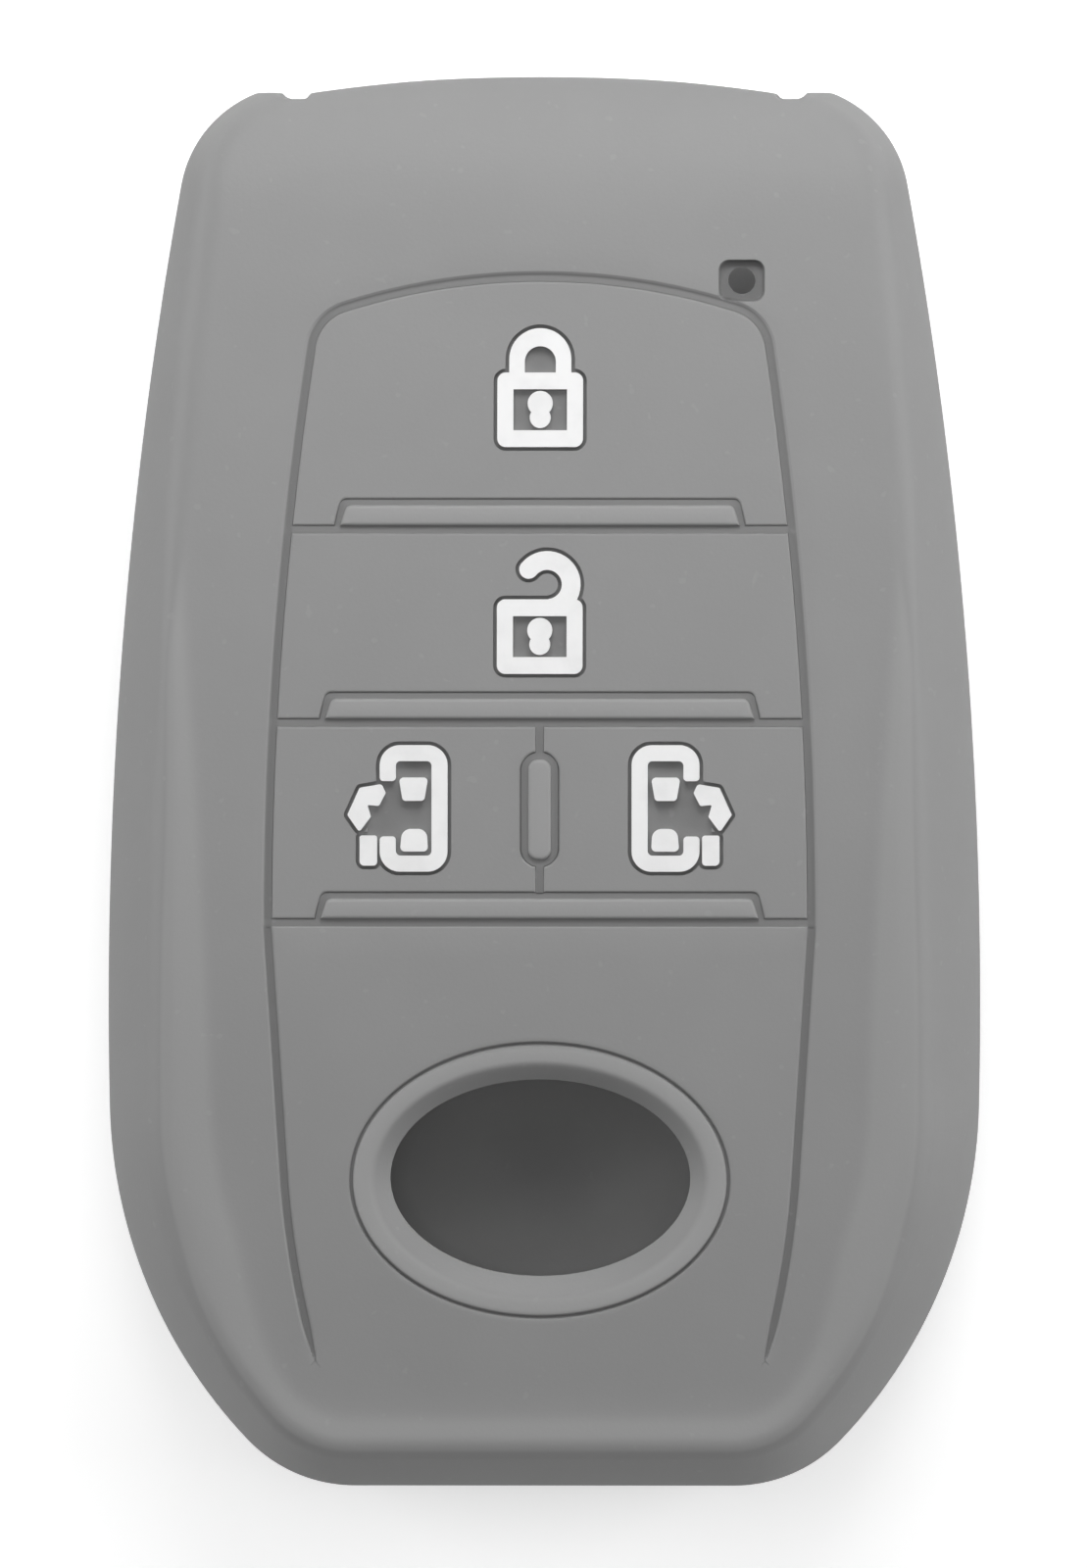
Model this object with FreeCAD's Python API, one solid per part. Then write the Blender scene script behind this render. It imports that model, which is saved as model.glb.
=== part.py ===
import FreeCAD
import Part
import math
import os
from FreeCAD import Vector

# Moulded silicone cover for a four-button car key fob, lying on its back.
# Millimetres. +Z is the button face, +Y the open mouth end, the origin is the middle of the back.

# Whole cover
LENGTH = 76.0
WIDTH = 47.0
FACE_HEIGHT = 17.6
WALL = 1.6
BACK_WALL = 1.5

# Outline seen from above: a chain of arcs that run into one another, rises measured from the foot end
MOUTH_END_R = 120.0
MOUTH_CORNER_R = 6.5
SIDE_R = 250.0
WIDEST_RISE = 26.0
HIP_R = 27.0
HIP_RISE = 20.5
FOOT_CORNER_R = 8.0

# Side wall bulge, crown of the face and slope down to the mouth
BULGE_R = 20.0
PARTING_DROP = 10.1
CROWN_R = 260.0
CROWN_Y = -6.0
SLOPE_R = 14.0
SLOPE_LENGTH = 7.4
SHOULDER_R = 2.0
BACK_EDGE_R = 3.0
POCKET_EDGE_R = 1.2

# Soft ridge that runs round the lower two thirds of the face, inside the shoulder, rises from the foot end
RIDGE_RISE = 0.3
RIDGE_SPREAD = 1.1
RIDGE_INSET = 4.2
RIDGE_TOP_INSET = 0.85
RIDGE_TOP_RISE = 53.0
RIDGE_FADE = 15.0
RIDGE_FOOT_INSET = 2.6
RIDGE_FOOT_RISE = 4.5
RIDGE_HIP_RISE = 14.5

# Mouth in the +Y end
MOUTH_HALF_WIDTH = 13.6
MOUTH_SILL = 1.1
MOUTH_LIP = 1.0
MOUTH_R = 3.4
LIP_R = 85.0
BUMP_DROP = 0.9
NOTCH_X = 13.4
NOTCH_WIDTH = 1.7
NOTCH_DEPTH = 0.34
NOTCH_R = 0.3

# Button panel, widest at the lowest crossbar
PANEL_TOP_Y = 27.2
PANEL_TOP_R = 35.0
PANEL_CORNER_R = 2.6
PANEL_SIDE_X = 14.62
PANEL_SIDE_R = 210.0
SIDE_GROOVE = 0.5
CROSS_GROOVE = 0.42
GROOVE_DEPTH = 0.45
CROSS_Y = (13.65, 3.28, -7.45)

# Side grooves below the panel: straight and leaning in, then a bend and a pointed end, rises from the foot end
LOW_GROOVE = 0.45
LOW_GROOVE_LEAN = 3.7
LOW_GROOVE_BEND_R = 50.0
LOW_GROOVE_BEND_RISE = 17.0
LOW_GROOVE_POINT = 2.0
LOW_GROOVE_TIP_RISE = 6.8

# Raised ribs on the crossbars and the capsule on the short divider
RIB_HALF = (10.73, 11.52, 11.76)
RIB_WIDTH = 1.1
RIB_CORNER_R = 0.4
RIB_TAPER = 0.35
RIB_RISE = 0.2
RIB_MARGIN = 0.32
CAPSULE_WIDTH = 1.25
CAPSULE_LENGTH = 5.4
CAPSULE_MARGIN = 0.4
BAR_ROOT = 0.4

# Buttons: a pad in the opening, as thick as the wall, and a flange tucked under the cover's lip
LIP = 0.85
LIP_CLEAR = 0.1
TUCK = 0.3
SIDE_CLEAR = 0.06
FLANGE_CLEAR = 0.15
EDGE_R = 0.12

# White pictograms inlaid in the buttons
INLAY_DEPTH = 0.4
INLAY_PROUD = 0.04
MOAT = 0.2

# Padlock pictograms, measured from the middle of their foot
LOCK_FOOT = 4.42
UNLOCK_FOOT = 2.62
PADLOCK_WIDTH = 4.6
PADLOCK_HEIGHT = 4.0
PADLOCK_R = 0.45
PADLOCK_SIDE = 0.86
PADLOCK_BAR = 0.9
SHACKLE_HALF = 1.665
SHACKLE_STROKE = 0.83
SHACKLE_TOP = 6.38
SHACKLE_CROWN = 0.97
KEYHOLE_Y = 2.34
KEYHOLE_R = 0.67
KEYHOLE_STEM_Y = 1.58
KEYHOLE_STEM_R = 0.56
HOOK_X = 0.4
HOOK_Y = 4.8
HOOK_INNER_R = 0.78
HOOK_OUTER_R = 1.79
HOOK_START = -85.0
HOOK_END = 141.0

# Sliding-door pictograms: the car seen from above, measured from the middle of its foot, corners as (x, y, radius)
CAR_X = 6.76
CAR_FOOT = 2.74
CAR_WIDTH = 3.64
CAR_LENGTH = 6.79
CAR_R = 1.08
CAR_STROKE = 0.86
CAR_INNER_R = 0.25
DOOR_LOW = 1.89
DOOR_HIGH = 4.86
DOOR_END_R = 0.2
FRONT_SEAT = ((-0.80, 5.05, 0.22), (0.78, 5.05, 0.22), (0.57, 3.80, 0.2), (-0.59, 3.80, 0.2))
REAR_SEAT = ((-0.74, 1.08, 0.25), (0.78, 1.08, 0.25), (0.70, 2.29, 0.5), (-0.62, 2.29, 0.5))
ARROW = ((-2.90, 4.50, 0.12), (-1.72, 4.70, 0.2), (-1.50, 4.22, 0.15), (-1.86, 3.52, 0.15),
         (-2.48, 3.58, 0.05), (-2.30, 2.94, 0.08), (-2.92, 2.12, 0.12), (-3.56, 3.04, 0.1))
LEAF = ((-2.90, 0.32, 0.25), (-1.96, 0.32, 0.2), (-1.96, 1.94, 0.15), (-2.90, 1.94, 0.12))

# Emblem window and lamp hole
WINDOW_Y = -21.3
WINDOW_RX = 8.06
WINDOW_RY = 5.29
WINDOW_BEVEL = 0.95
WINDOW_EDGE = 0.3
WINDOW_LAND = 1.0
WINDOW_LINE = 0.24
WINDOW_LINE_DEPTH = 0.22
LAMP_X = 10.77
LAMP_Y = 26.96
LAMP_WIDTH = 2.42
LAMP_HEIGHT = 2.16
LAMP_R = 0.6
LAMP_SINK = 0.5
LAMP_HOLE_R = 0.72

# How far cutting shapes stand clear above the face and reach through a wall, and levels in the side wall's bulge
ABOVE = 1.0
THROUGH = 4.0
BULGE_STEPS = 6

# Places along the length and the height that follow from the sizes above
FOOT_END = -LENGTH / 2
MOUTH_END = LENGTH / 2
WIDEST_Y = FOOT_END + WIDEST_RISE
HIP_Y = FOOT_END + HIP_RISE
SLOPE_Y = MOUTH_END - SLOPE_LENGTH
RIDGE_TOP_Y = FOOT_END + RIDGE_TOP_RISE
RIDGE_FOOT_Y = FOOT_END + RIDGE_FOOT_RISE
RIDGE_HIP_Y = FOOT_END + RIDGE_HIP_RISE
LOW_GROOVE_BEND_Y = FOOT_END + LOW_GROOVE_BEND_RISE
LOW_GROOVE_TIP_Y = FOOT_END + LOW_GROOVE_TIP_RISE
PARTING_Z = FACE_HEIGHT - PARTING_DROP

# The last millimetres of the face, where the mouth is cut under it
END_DROP = CROWN_R - math.sqrt(CROWN_R ** 2 - (MOUTH_END - CROWN_Y) ** 2) + SLOPE_LENGTH ** 2 / (2 * SLOPE_R)
MOUTH_ROOF_Z = FACE_HEIGHT - END_DROP - MOUTH_LIP
MOUTH_FLOOR_Z = BACK_WALL + MOUTH_SILL
MOUTH_SET = BULGE_R - math.sqrt(BULGE_R ** 2 - (MOUTH_ROOF_Z - PARTING_Z) ** 2)
CAPSULE_Y = (CROSS_Y[1] + CROSS_Y[2] + RIB_WIDTH + RIB_MARGIN) / 2

# Outline arcs of the right half, from the foot to the mouth: centre, radius, start and end angle
SIDE_C = (WIDTH / 2 - SIDE_R, WIDEST_Y)
HIP_A = math.asin((HIP_Y - WIDEST_Y) / SIDE_R)
HIP_C = (SIDE_C[0] + (SIDE_R - HIP_R) * math.cos(HIP_A), SIDE_C[1] + (SIDE_R - HIP_R) * math.sin(HIP_A))
FOOT_CY = FOOT_END + FOOT_CORNER_R
FOOT_C = (HIP_C[0] + math.sqrt((HIP_R - FOOT_CORNER_R) ** 2 - (FOOT_CY - HIP_C[1]) ** 2), FOOT_CY)
FOOT_A = math.atan2(FOOT_C[1] - HIP_C[1], FOOT_C[0] - HIP_C[0])
MOUTH_C = (0.0, MOUTH_END + MOUTH_SET - MOUTH_END_R)


def corner_centre(side, side_r, end, end_r, radius):
    """Centre of the arc of the given radius that touches a side arc and an end arc from inside."""
    reach_side = side_r - radius
    reach_end = end_r - radius
    dx = end[0] - side[0]
    dy = end[1] - side[1]
    apart = math.hypot(dx, dy)
    along = (apart ** 2 + reach_side ** 2 - reach_end ** 2) / (2 * apart)
    across = math.sqrt(reach_side ** 2 - along ** 2)
    return (side[0] + (along * dx - across * dy) / apart, side[1] + (along * dy + across * dx) / apart)


CORNER_C = corner_centre(SIDE_C, SIDE_R, MOUTH_C, MOUTH_END_R, MOUTH_CORNER_R)
CORNER_A = math.atan2(CORNER_C[1] - SIDE_C[1], CORNER_C[0] - SIDE_C[0])
MOUTH_A = math.atan2(CORNER_C[1] - MOUTH_C[1], CORNER_C[0] - MOUTH_C[0])
HALF_ARCS = [
    (FOOT_C, FOOT_CORNER_R, -math.pi / 2, FOOT_A),
    (HIP_C, HIP_R, FOOT_A, HIP_A),
    (SIDE_C, SIDE_R, HIP_A, CORNER_A),
    (CORNER_C, MOUTH_CORNER_R, CORNER_A, MOUTH_A),
]

# Arcs of the button panel's right half
PANEL_C = (PANEL_SIDE_X - PANEL_SIDE_R, CROSS_Y[2])
PANEL_TOP_C = (0.0, PANEL_TOP_Y - PANEL_TOP_R)
PANEL_CORNER_C = corner_centre(PANEL_C, PANEL_SIDE_R, PANEL_TOP_C, PANEL_TOP_R, PANEL_CORNER_R)
PANEL_CORNER_A = math.atan2(PANEL_CORNER_C[1] - PANEL_C[1], PANEL_CORNER_C[0] - PANEL_C[0])
PANEL_TOP_A = math.atan2(PANEL_CORNER_C[1] - PANEL_TOP_C[1], PANEL_CORNER_C[0] - PANEL_TOP_C[0])


def arc(centre, radius, start, end, z):
    circle = Part.Circle(Vector(centre[0], centre[1], z), Vector(0, 0, 1), radius)
    return Part.ArcOfCircle(circle, start, end).toShape()


def arched(half_arcs, top, z):
    """Closed line: a straight foot, arcs up the right side, one arc over the top, the same arcs down the left."""
    right = [arc(*piece, z) for piece in half_arcs]
    left = [arc((-centre[0], centre[1]), radius, math.pi - end, math.pi - start, z)
            for centre, radius, start, end in reversed(half_arcs)]
    start = right[0].valueAt(right[0].FirstParameter)
    foot = Part.makeLine(Vector(-start.x, start.y, z), start)
    return Part.Wire([foot] + right + [arc(*top, z)] + left)


def outline(inset, z):
    """The cover's outline at height z, drawn in by inset."""
    half = [(centre, radius - inset, start, end) for centre, radius, start, end in HALF_ARCS]
    return arched(half, (MOUTH_C, MOUTH_END_R - inset, MOUTH_A, math.pi - MOUTH_A), z)


def bulge_inset(z):
    return BULGE_R - math.sqrt(BULGE_R ** 2 - (z - PARTING_Z) ** 2)


def barrel(inset, low, high):
    """Body of bulged side walls between two heights, drawn in by inset."""
    levels = [low + (high - low) * i / BULGE_STEPS for i in range(BULGE_STEPS + 1)]
    return Part.makeLoft([outline(inset + bulge_inset(z), z) for z in levels], True, False)


def edge_distance(x, y):
    """How far a point lies inside the outline."""
    best = y - FOOT_END
    for centre, radius, start, end in HALF_ARCS + [(MOUTH_C, MOUTH_END_R, MOUTH_A, math.pi / 2)]:
        angle = math.atan2(y - centre[1], abs(x) - centre[0])
        if start <= angle <= end:
            best = min(best, radius - math.hypot(abs(x) - centre[0], y - centre[1]))
    return best


def ease(t):
    t = min(max(t, 0.0), 1.0)
    return t * t * (3 - 2 * t)


def face_height(x, y, ridge):
    """Height of the face: crown along the length, slope to the mouth, ridge inside the shoulder."""
    z = FACE_HEIGHT - CROWN_R + math.sqrt(CROWN_R ** 2 - (y - CROWN_Y) ** 2)
    if y > SLOPE_Y:
        z -= (y - SLOPE_Y) ** 2 / (2 * SLOPE_R)
    if ridge:
        climb = max(0.0, (y - WIDEST_Y) / (RIDGE_TOP_Y - WIDEST_Y))
        foot = ease((y - RIDGE_HIP_Y) / (RIDGE_FOOT_Y - RIDGE_HIP_Y))
        crest = RIDGE_INSET + (RIDGE_TOP_INSET - RIDGE_INSET) * climb ** 2
        crest += (RIDGE_FOOT_INSET - RIDGE_INSET) * foot
        rise = RIDGE_RISE * (1 - ease(1 + (y - RIDGE_TOP_Y) / RIDGE_FADE))
        z += rise * math.exp(-0.5 * ((edge_distance(x, y) - crest) / RIDGE_SPREAD) ** 2)
    return z


def under_face(ridge, drop):
    """Everything below the face, lowered by drop."""
    half_x = int(WIDTH / 2 + THROUGH)
    half_y = int(LENGTH / 2 + THROUGH)
    rows = []
    for x in range(-half_x, half_x + 1):
        rows.append([Vector(x, y, face_height(x, y, ridge) - drop) for y in range(-half_y, half_y + 1)])
    surface = Part.BSplineSurface()
    surface.interpolate(rows)
    return surface.toShape().extrude(Vector(0, 0, -2 * FACE_HEIGHT))


def crown(depth):
    """Everything below the crowned face, lowered by depth."""
    axis_point = Vector(-WIDTH, CROWN_Y, FACE_HEIGHT - CROWN_R)
    return Part.makeCylinder(CROWN_R - depth, 2 * WIDTH, axis_point, Vector(1, 0, 0))


def flat_bed(y, depth):
    """Everything below the plane that touches the crown at y, lowered by depth."""
    tilt = math.asin((y - CROWN_Y) / CROWN_R)
    bed = Part.makeBox(2 * WIDTH, 2 * WIDTH, FACE_HEIGHT, Vector(-WIDTH, -WIDTH, -FACE_HEIGHT))
    bed.rotate(Vector(0, 0, 0), Vector(1, 0, 0), -math.degrees(tilt))
    reach = CROWN_R - depth
    bed.translate(Vector(0, CROWN_Y + reach * math.sin(tilt), FACE_HEIGHT - CROWN_R + reach * math.cos(tilt)))
    return bed


def rounded(corners):
    """Flat figure from corner points (x, y, corner radius)."""
    starts = []
    ends = []
    middles = []
    count = len(corners)
    for i, (x, y, radius) in enumerate(corners):
        here = Vector(x, y, 0)
        back = (Vector(corners[i - 1][0], corners[i - 1][1], 0) - here).normalize()
        ahead = (Vector(corners[(i + 1) % count][0], corners[(i + 1) % count][1], 0) - here).normalize()
        half = back.getAngle(ahead) / 2
        bisector = (back + ahead).normalize()
        starts.append(here + back * (radius / math.tan(half)))
        ends.append(here + ahead * (radius / math.tan(half)))
        middles.append(here + bisector * (radius / math.sin(half) - radius))
    edges = []
    for i in range(count):
        if starts[i].distanceToPoint(ends[i - 1]) > 1e-6:
            edges.append(Part.makeLine(ends[i - 1], starts[i]))
        if corners[i][2] > 0:
            edges.append(Part.Arc(starts[i], middles[i], ends[i]).toShape())
    return Part.Face(Part.Wire(edges))


def block(x0, y0, x1, y1, radius):
    return rounded([(x0, y0, radius), (x1, y0, radius), (x1, y1, radius), (x0, y1, radius)])


def disc(x, y, radius):
    return Part.Face(Part.Wire(Part.makeCircle(radius, Vector(x, y, 0))))


def sector(x, y, inner, outer, start, end):
    """Band of a circle between two angles in degrees, with a round cap at the end angle."""
    a = math.radians(start)
    b = math.radians(end)
    near = arc((x, y), inner, a, b, 0)
    far = arc((x, y), outer, a, b, 0)
    sides = [Part.makeLine(near.valueAt(p), far.valueAt(q)) for p, q in
             ((near.FirstParameter, far.FirstParameter), (near.LastParameter, far.LastParameter))]
    band = Part.Face(Part.Wire(Part.__sortEdges__([near, far] + sides)))
    middle = (inner + outer) / 2
    cap = disc(x + middle * math.cos(b), y + middle * math.sin(b), (outer - inner) / 2)
    return join([band, cap])


def combine(figures, holes):
    """Flat figures left when some figures are joined and others are taken away."""
    up = Vector(0, 0, 1)
    solid = figures[0].extrude(up)
    if len(figures) > 1:
        solid = solid.multiFuse([figure.extrude(up) for figure in figures[1:]])
    if holes:
        solid = solid.cut([figure.extrude(up) for figure in holes])
    return [face for face in solid.removeSplitter().Faces if face.CenterOfMass.z < 1e-6]


def join(figures):
    return combine(figures, [])[0]


def mirrored(shape):
    return shape.mirror(Vector(0, 0, 0), Vector(1, 0, 0))


def column(figure):
    """A flat figure stood up through the whole face."""
    shifted = figure.copy()
    shifted.translate(Vector(0, 0, FACE_HEIGHT / 2))
    return shifted.extrude(Vector(0, 0, FACE_HEIGHT))


def layer(figure, low, high):
    """A flat figure stood up between two depths under the crowned face."""
    return column(figure).common(crown(high)).cut(crown(low))


def top_edges(shape, depth):
    """Edges that lie on the crown lowered by depth."""
    axis = Vector(0, CROWN_Y, FACE_HEIGHT - CROWN_R)
    found = []
    for edge in shape.Edges:
        steps = [edge.valueAt(edge.FirstParameter + f * (edge.LastParameter - edge.FirstParameter))
                 for f in (0.0, 0.5, 1.0)]
        if all(abs(math.hypot(p.y - axis.y, p.z - axis.z) - CROWN_R + depth) < 1e-4 for p in steps):
            found.append(edge)
    return found


def panel(grow):
    """Flat figure of the button panel down to the lowest crossbar, moved out by grow."""
    foot = CROSS_Y[2] - CROSS_GROOVE / 2 - max(grow - SIDE_GROOVE / 2, 0)
    side_r = PANEL_SIDE_R + grow
    half = [(PANEL_C, side_r, math.asin((foot - PANEL_C[1]) / side_r), PANEL_CORNER_A),
            (PANEL_CORNER_C, PANEL_CORNER_R + grow, PANEL_CORNER_A, PANEL_TOP_A)]
    return Part.Face(arched(half, (PANEL_TOP_C, PANEL_TOP_R + grow, PANEL_TOP_A, math.pi - PANEL_TOP_A), 0))


def crossbars(shrink):
    """Flat figures of the crossbars, the places round their ribs, the divider and its capsule."""
    figures = []
    for y, half in zip(CROSS_Y, RIB_HALF):
        reach = PANEL_SIDE_X + SIDE_GROOVE / 2 + BAR_ROOT
        low = y - CROSS_GROOVE / 2
        low += shrink if y > CROSS_Y[2] else -BAR_ROOT
        figures.append(block(-reach, low, reach, y + CROSS_GROOVE / 2 - shrink, 0))
        figures.append(rib(y, half, RIB_MARGIN - shrink))
    half = CROSS_GROOVE / 2 - shrink
    figures.append(block(-half, CROSS_Y[2], half, CROSS_Y[1], 0))
    figures.append(capsule(CAPSULE_MARGIN - shrink))
    return figures


def rib(y, half, grow):
    """Long low bar that stands on the crossbar at y, narrower at its upper edge, moved out by grow."""
    low = y + CROSS_GROOVE / 2 - min(grow, CROSS_GROOVE / 4)
    high = y + CROSS_GROOVE / 2 + RIB_WIDTH + grow
    reach = half + grow
    return rounded([(-reach, low, 0), (reach, low, 0), (reach - RIB_TAPER, high, RIB_CORNER_R),
                    (-reach + RIB_TAPER, high, RIB_CORNER_R)])


def capsule(grow):
    half = CAPSULE_WIDTH / 2 + grow
    reach = CAPSULE_LENGTH / 2 + grow
    return block(-half, CAPSULE_Y - reach, half, CAPSULE_Y + reach, half)


def lamp_recess():
    return block(LAMP_X - LAMP_WIDTH / 2, LAMP_Y - LAMP_HEIGHT / 2,
                 LAMP_X + LAMP_WIDTH / 2, LAMP_Y + LAMP_HEIGHT / 2, LAMP_R)


def ellipse_wire(rx, ry, depth):
    """Ellipse round the emblem window, in the plane that touches the crown there, lowered by depth."""
    tilt = math.asin((WINDOW_Y - CROWN_Y) / CROWN_R)
    wire = Part.Wire(Part.Ellipse(Vector(0, 0, 0), rx, ry).toShape())
    wire.rotate(Vector(0, 0, 0), Vector(1, 0, 0), -math.degrees(tilt))
    reach = CROWN_R - depth
    wire.translate(Vector(0, CROWN_Y + reach * math.sin(tilt), FACE_HEIGHT - CROWN_R + reach * math.cos(tilt)))
    return wire


def moved(figure, x, y):
    shifted = figure.copy()
    shifted.translate(Vector(x, y, 0))
    return shifted


def padlock_body(grow):
    half = PADLOCK_WIDTH / 2 + grow
    return block(-half, -grow, half, PADLOCK_HEIGHT + grow, PADLOCK_R + grow)


def padlock_window():
    half = PADLOCK_WIDTH / 2 - PADLOCK_SIDE
    return block(-half, PADLOCK_BAR, half, PADLOCK_HEIGHT - PADLOCK_BAR, 0)


def shackle(grow):
    """Closed shackle, down to the middle of the padlock body."""
    half = SHACKLE_HALF + grow
    return join([block(-half, PADLOCK_HEIGHT / 2, half, SHACKLE_TOP - SHACKLE_HALF, 0),
                 disc(0, SHACKLE_TOP - SHACKLE_HALF, half)])


def shackle_inside():
    half = SHACKLE_HALF - SHACKLE_STROKE
    top = SHACKLE_TOP - SHACKLE_CROWN
    return rounded([(-half, PADLOCK_HEIGHT, 0), (half, PADLOCK_HEIGHT, 0), (half, top, half), (-half, top, half)])


def hook(grow):
    return sector(HOOK_X, HOOK_Y, HOOK_INNER_R - grow, HOOK_OUTER_R + grow, HOOK_START, HOOK_END)


def keyhole():
    return join([disc(0, KEYHOLE_Y, KEYHOLE_R), disc(0, KEYHOLE_STEM_Y, KEYHOLE_STEM_R)])


def car_outline():
    """Car seen from above with its door side open."""
    x0 = -CAR_WIDTH / 2
    x1 = x0 + CAR_STROKE
    x2 = CAR_WIDTH / 2 - CAR_STROKE
    x3 = CAR_WIDTH / 2
    outer = [(x0, DOOR_HIGH, DOOR_END_R), (x0, CAR_LENGTH, CAR_R), (x3, CAR_LENGTH, CAR_R), (x3, 0, CAR_R),
             (x0, 0, CAR_R), (x0, DOOR_LOW, DOOR_END_R)]
    inner = [(x1, DOOR_LOW, DOOR_END_R), (x1, CAR_STROKE, CAR_INNER_R), (x2, CAR_STROKE, CAR_INNER_R),
             (x2, CAR_LENGTH - CAR_STROKE, CAR_INNER_R), (x1, CAR_LENGTH - CAR_STROKE, CAR_INNER_R),
             (x1, DOOR_HIGH, DOOR_END_R)]
    return rounded(outer + inner)


def door_pocket():
    """Pocket under the car, the arrow and the door leaf, with the floor between them."""
    half = CAR_WIDTH / 2 + MOAT
    between = block(ARROW[4][0], LEAF[2][1], 0, ARROW[4][1], 0)
    return join([block(-half, -MOAT, half, CAR_LENGTH + MOAT, CAR_R + MOAT), between,
                 rounded(ARROW).makeOffset2D(MOAT), rounded(LEAF).makeOffset2D(MOAT)])


def pictograms():
    """For each button: its white figures by name, the pocket they lie in, and the middle of their foot."""
    closed = combine([padlock_body(0), shackle(0)], [padlock_window(), shackle_inside()])[0]
    opened = combine([padlock_body(0), hook(0)], [padlock_window()])[0]
    car = [("car_outline", car_outline()), ("front_seat", rounded(FRONT_SEAT)), ("rear_seat", rounded(REAR_SEAT)),
           ("arrow", rounded(ARROW)), ("leaf", rounded(LEAF))]
    flipped = [(name, mirrored(figure)) for name, figure in car]
    car_foot = CROSS_Y[2] + CAR_FOOT
    return {
        "lock": ([("padlock", closed), ("keyhole", keyhole())], join([padlock_body(MOAT), shackle(MOAT)]),
                 0, CROSS_Y[0] + LOCK_FOOT),
        "unlock": ([("padlock", opened), ("keyhole", keyhole())], join([padlock_body(MOAT), hook(MOAT)]),
                   0, CROSS_Y[1] + UNLOCK_FOOT),
        "left_door": (car, door_pocket(), -CAR_X, car_foot),
        "right_door": (flipped, mirrored(door_pocket()), CAR_X, car_foot),
    }


def make_sleeve():
    """The one-piece moulding: walls, face, crossbars, window, lamp hole and mouth."""
    body = barrel(0, 0, FACE_HEIGHT + 2 * RIDGE_RISE).common(under_face(True, 0)).Solids[0]
    face = max(body.Faces, key=lambda f: f.CenterOfMass.z)
    body = body.makeFillet(SHOULDER_R, face.OuterWire.Edges)
    back = min(body.Faces, key=lambda f: f.CenterOfMass.z)
    body = body.makeFillet(BACK_EDGE_R, back.OuterWire.Edges)

    pocket = barrel(WALL, BACK_WALL, FACE_HEIGHT).common(under_face(False, WALL)).Solids[0]
    floor = min(pocket.Faces, key=lambda f: f.CenterOfMass.z)
    body = body.cut(pocket.makeFillet(POCKET_EDGE_R, floor.OuterWire.Edges))

    mouth = block(-MOUTH_HALF_WIDTH, MOUTH_FLOOR_Z, MOUTH_HALF_WIDTH, MOUTH_ROOF_Z, MOUTH_R)
    mouth.rotate(Vector(0, 0, 0), Vector(1, 0, 0), 90)
    mouth.translate(Vector(0, MOUTH_END + ABOVE, 0))
    body = body.cut(mouth.extrude(Vector(0, -2 * THROUGH, 0)))
    body = body.cut([figure.extrude(Vector(0, 0, 2 * FACE_HEIGHT)) for figure in mouth_trims()])

    body = body.cut(layer(panel(SIDE_GROOVE / 2), LIP, -ABOVE))
    body = body.cut(layer(panel(SIDE_GROOVE / 2 + TUCK + FLANGE_CLEAR), THROUGH, LIP))
    bars = [layer(figure, LIP, GROOVE_DEPTH) for figure in crossbars(SIDE_CLEAR)]
    for y, half in zip(CROSS_Y, RIB_HALF):
        bars.append(rounded_layer(rib(y, half, 0), LIP, -RIB_RISE))
    bars.append(rounded_layer(capsule(0), LIP, -RIB_RISE))
    body = body.multiFuse(bars)

    body = body.cut([layer(groove, GROOVE_DEPTH, -ABOVE) for groove in (side_groove(), mirrored(side_groove()))])
    bevel_depth = WALL - WINDOW_EDGE
    hole = Part.makeLoft([ellipse_wire(WINDOW_RX, WINDOW_RY, WALL + ABOVE),
                          ellipse_wire(WINDOW_RX, WINDOW_RY, bevel_depth),
                          ellipse_wire(WINDOW_RX + WINDOW_BEVEL, WINDOW_RY + WINDOW_BEVEL, 0),
                          ellipse_wire(WINDOW_RX + 2 * WINDOW_BEVEL, WINDOW_RY + 2 * WINDOW_BEVEL, -bevel_depth)],
                         True, True)
    line_out = WINDOW_BEVEL + WINDOW_LAND
    ring = Part.Face([Part.Wire(Part.Ellipse(Vector(0, WINDOW_Y, 0), WINDOW_RX + grow, WINDOW_RY + grow).toShape())
                      for grow in (line_out + WINDOW_LINE, line_out)])
    body = body.cut([hole, layer(ring, WINDOW_LINE_DEPTH, -ABOVE)])
    lamp_hole = layer(disc(LAMP_X, LAMP_Y, LAMP_HOLE_R), THROUGH, -ABOVE)
    body = body.cut([layer(lamp_recess(), LAMP_SINK, -ABOVE), lamp_hole])
    return body.removeSplitter()


def rounded_layer(figure, low, high):
    """A raised bar with its upper edge rounded."""
    bar = layer(figure, low, high)
    return bar.makeFillet(EDGE_R, top_edges(bar, high))


def mouth_trims():
    """Flat figures cut off the mouth end: over the lip's arc, over the flat bump beside it, and the notch between."""
    beyond = block(-NOTCH_X, MOUTH_END - THROUGH, NOTCH_X, MOUTH_END + THROUGH, 0)
    figures = combine([beyond], [disc(0, MOUTH_END - LIP_R, LIP_R)])
    bump_y = MOUTH_END - BUMP_DROP
    over_bump = block(NOTCH_X, bump_y, WIDTH / 2, MOUTH_END + THROUGH, 0)
    notch = block(NOTCH_X - NOTCH_WIDTH / 2, bump_y - NOTCH_DEPTH, NOTCH_X + NOTCH_WIDTH / 2, MOUTH_END + THROUGH,
                  NOTCH_R)
    return figures + [over_bump, notch, mirrored(over_bump), mirrored(notch)]


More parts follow.
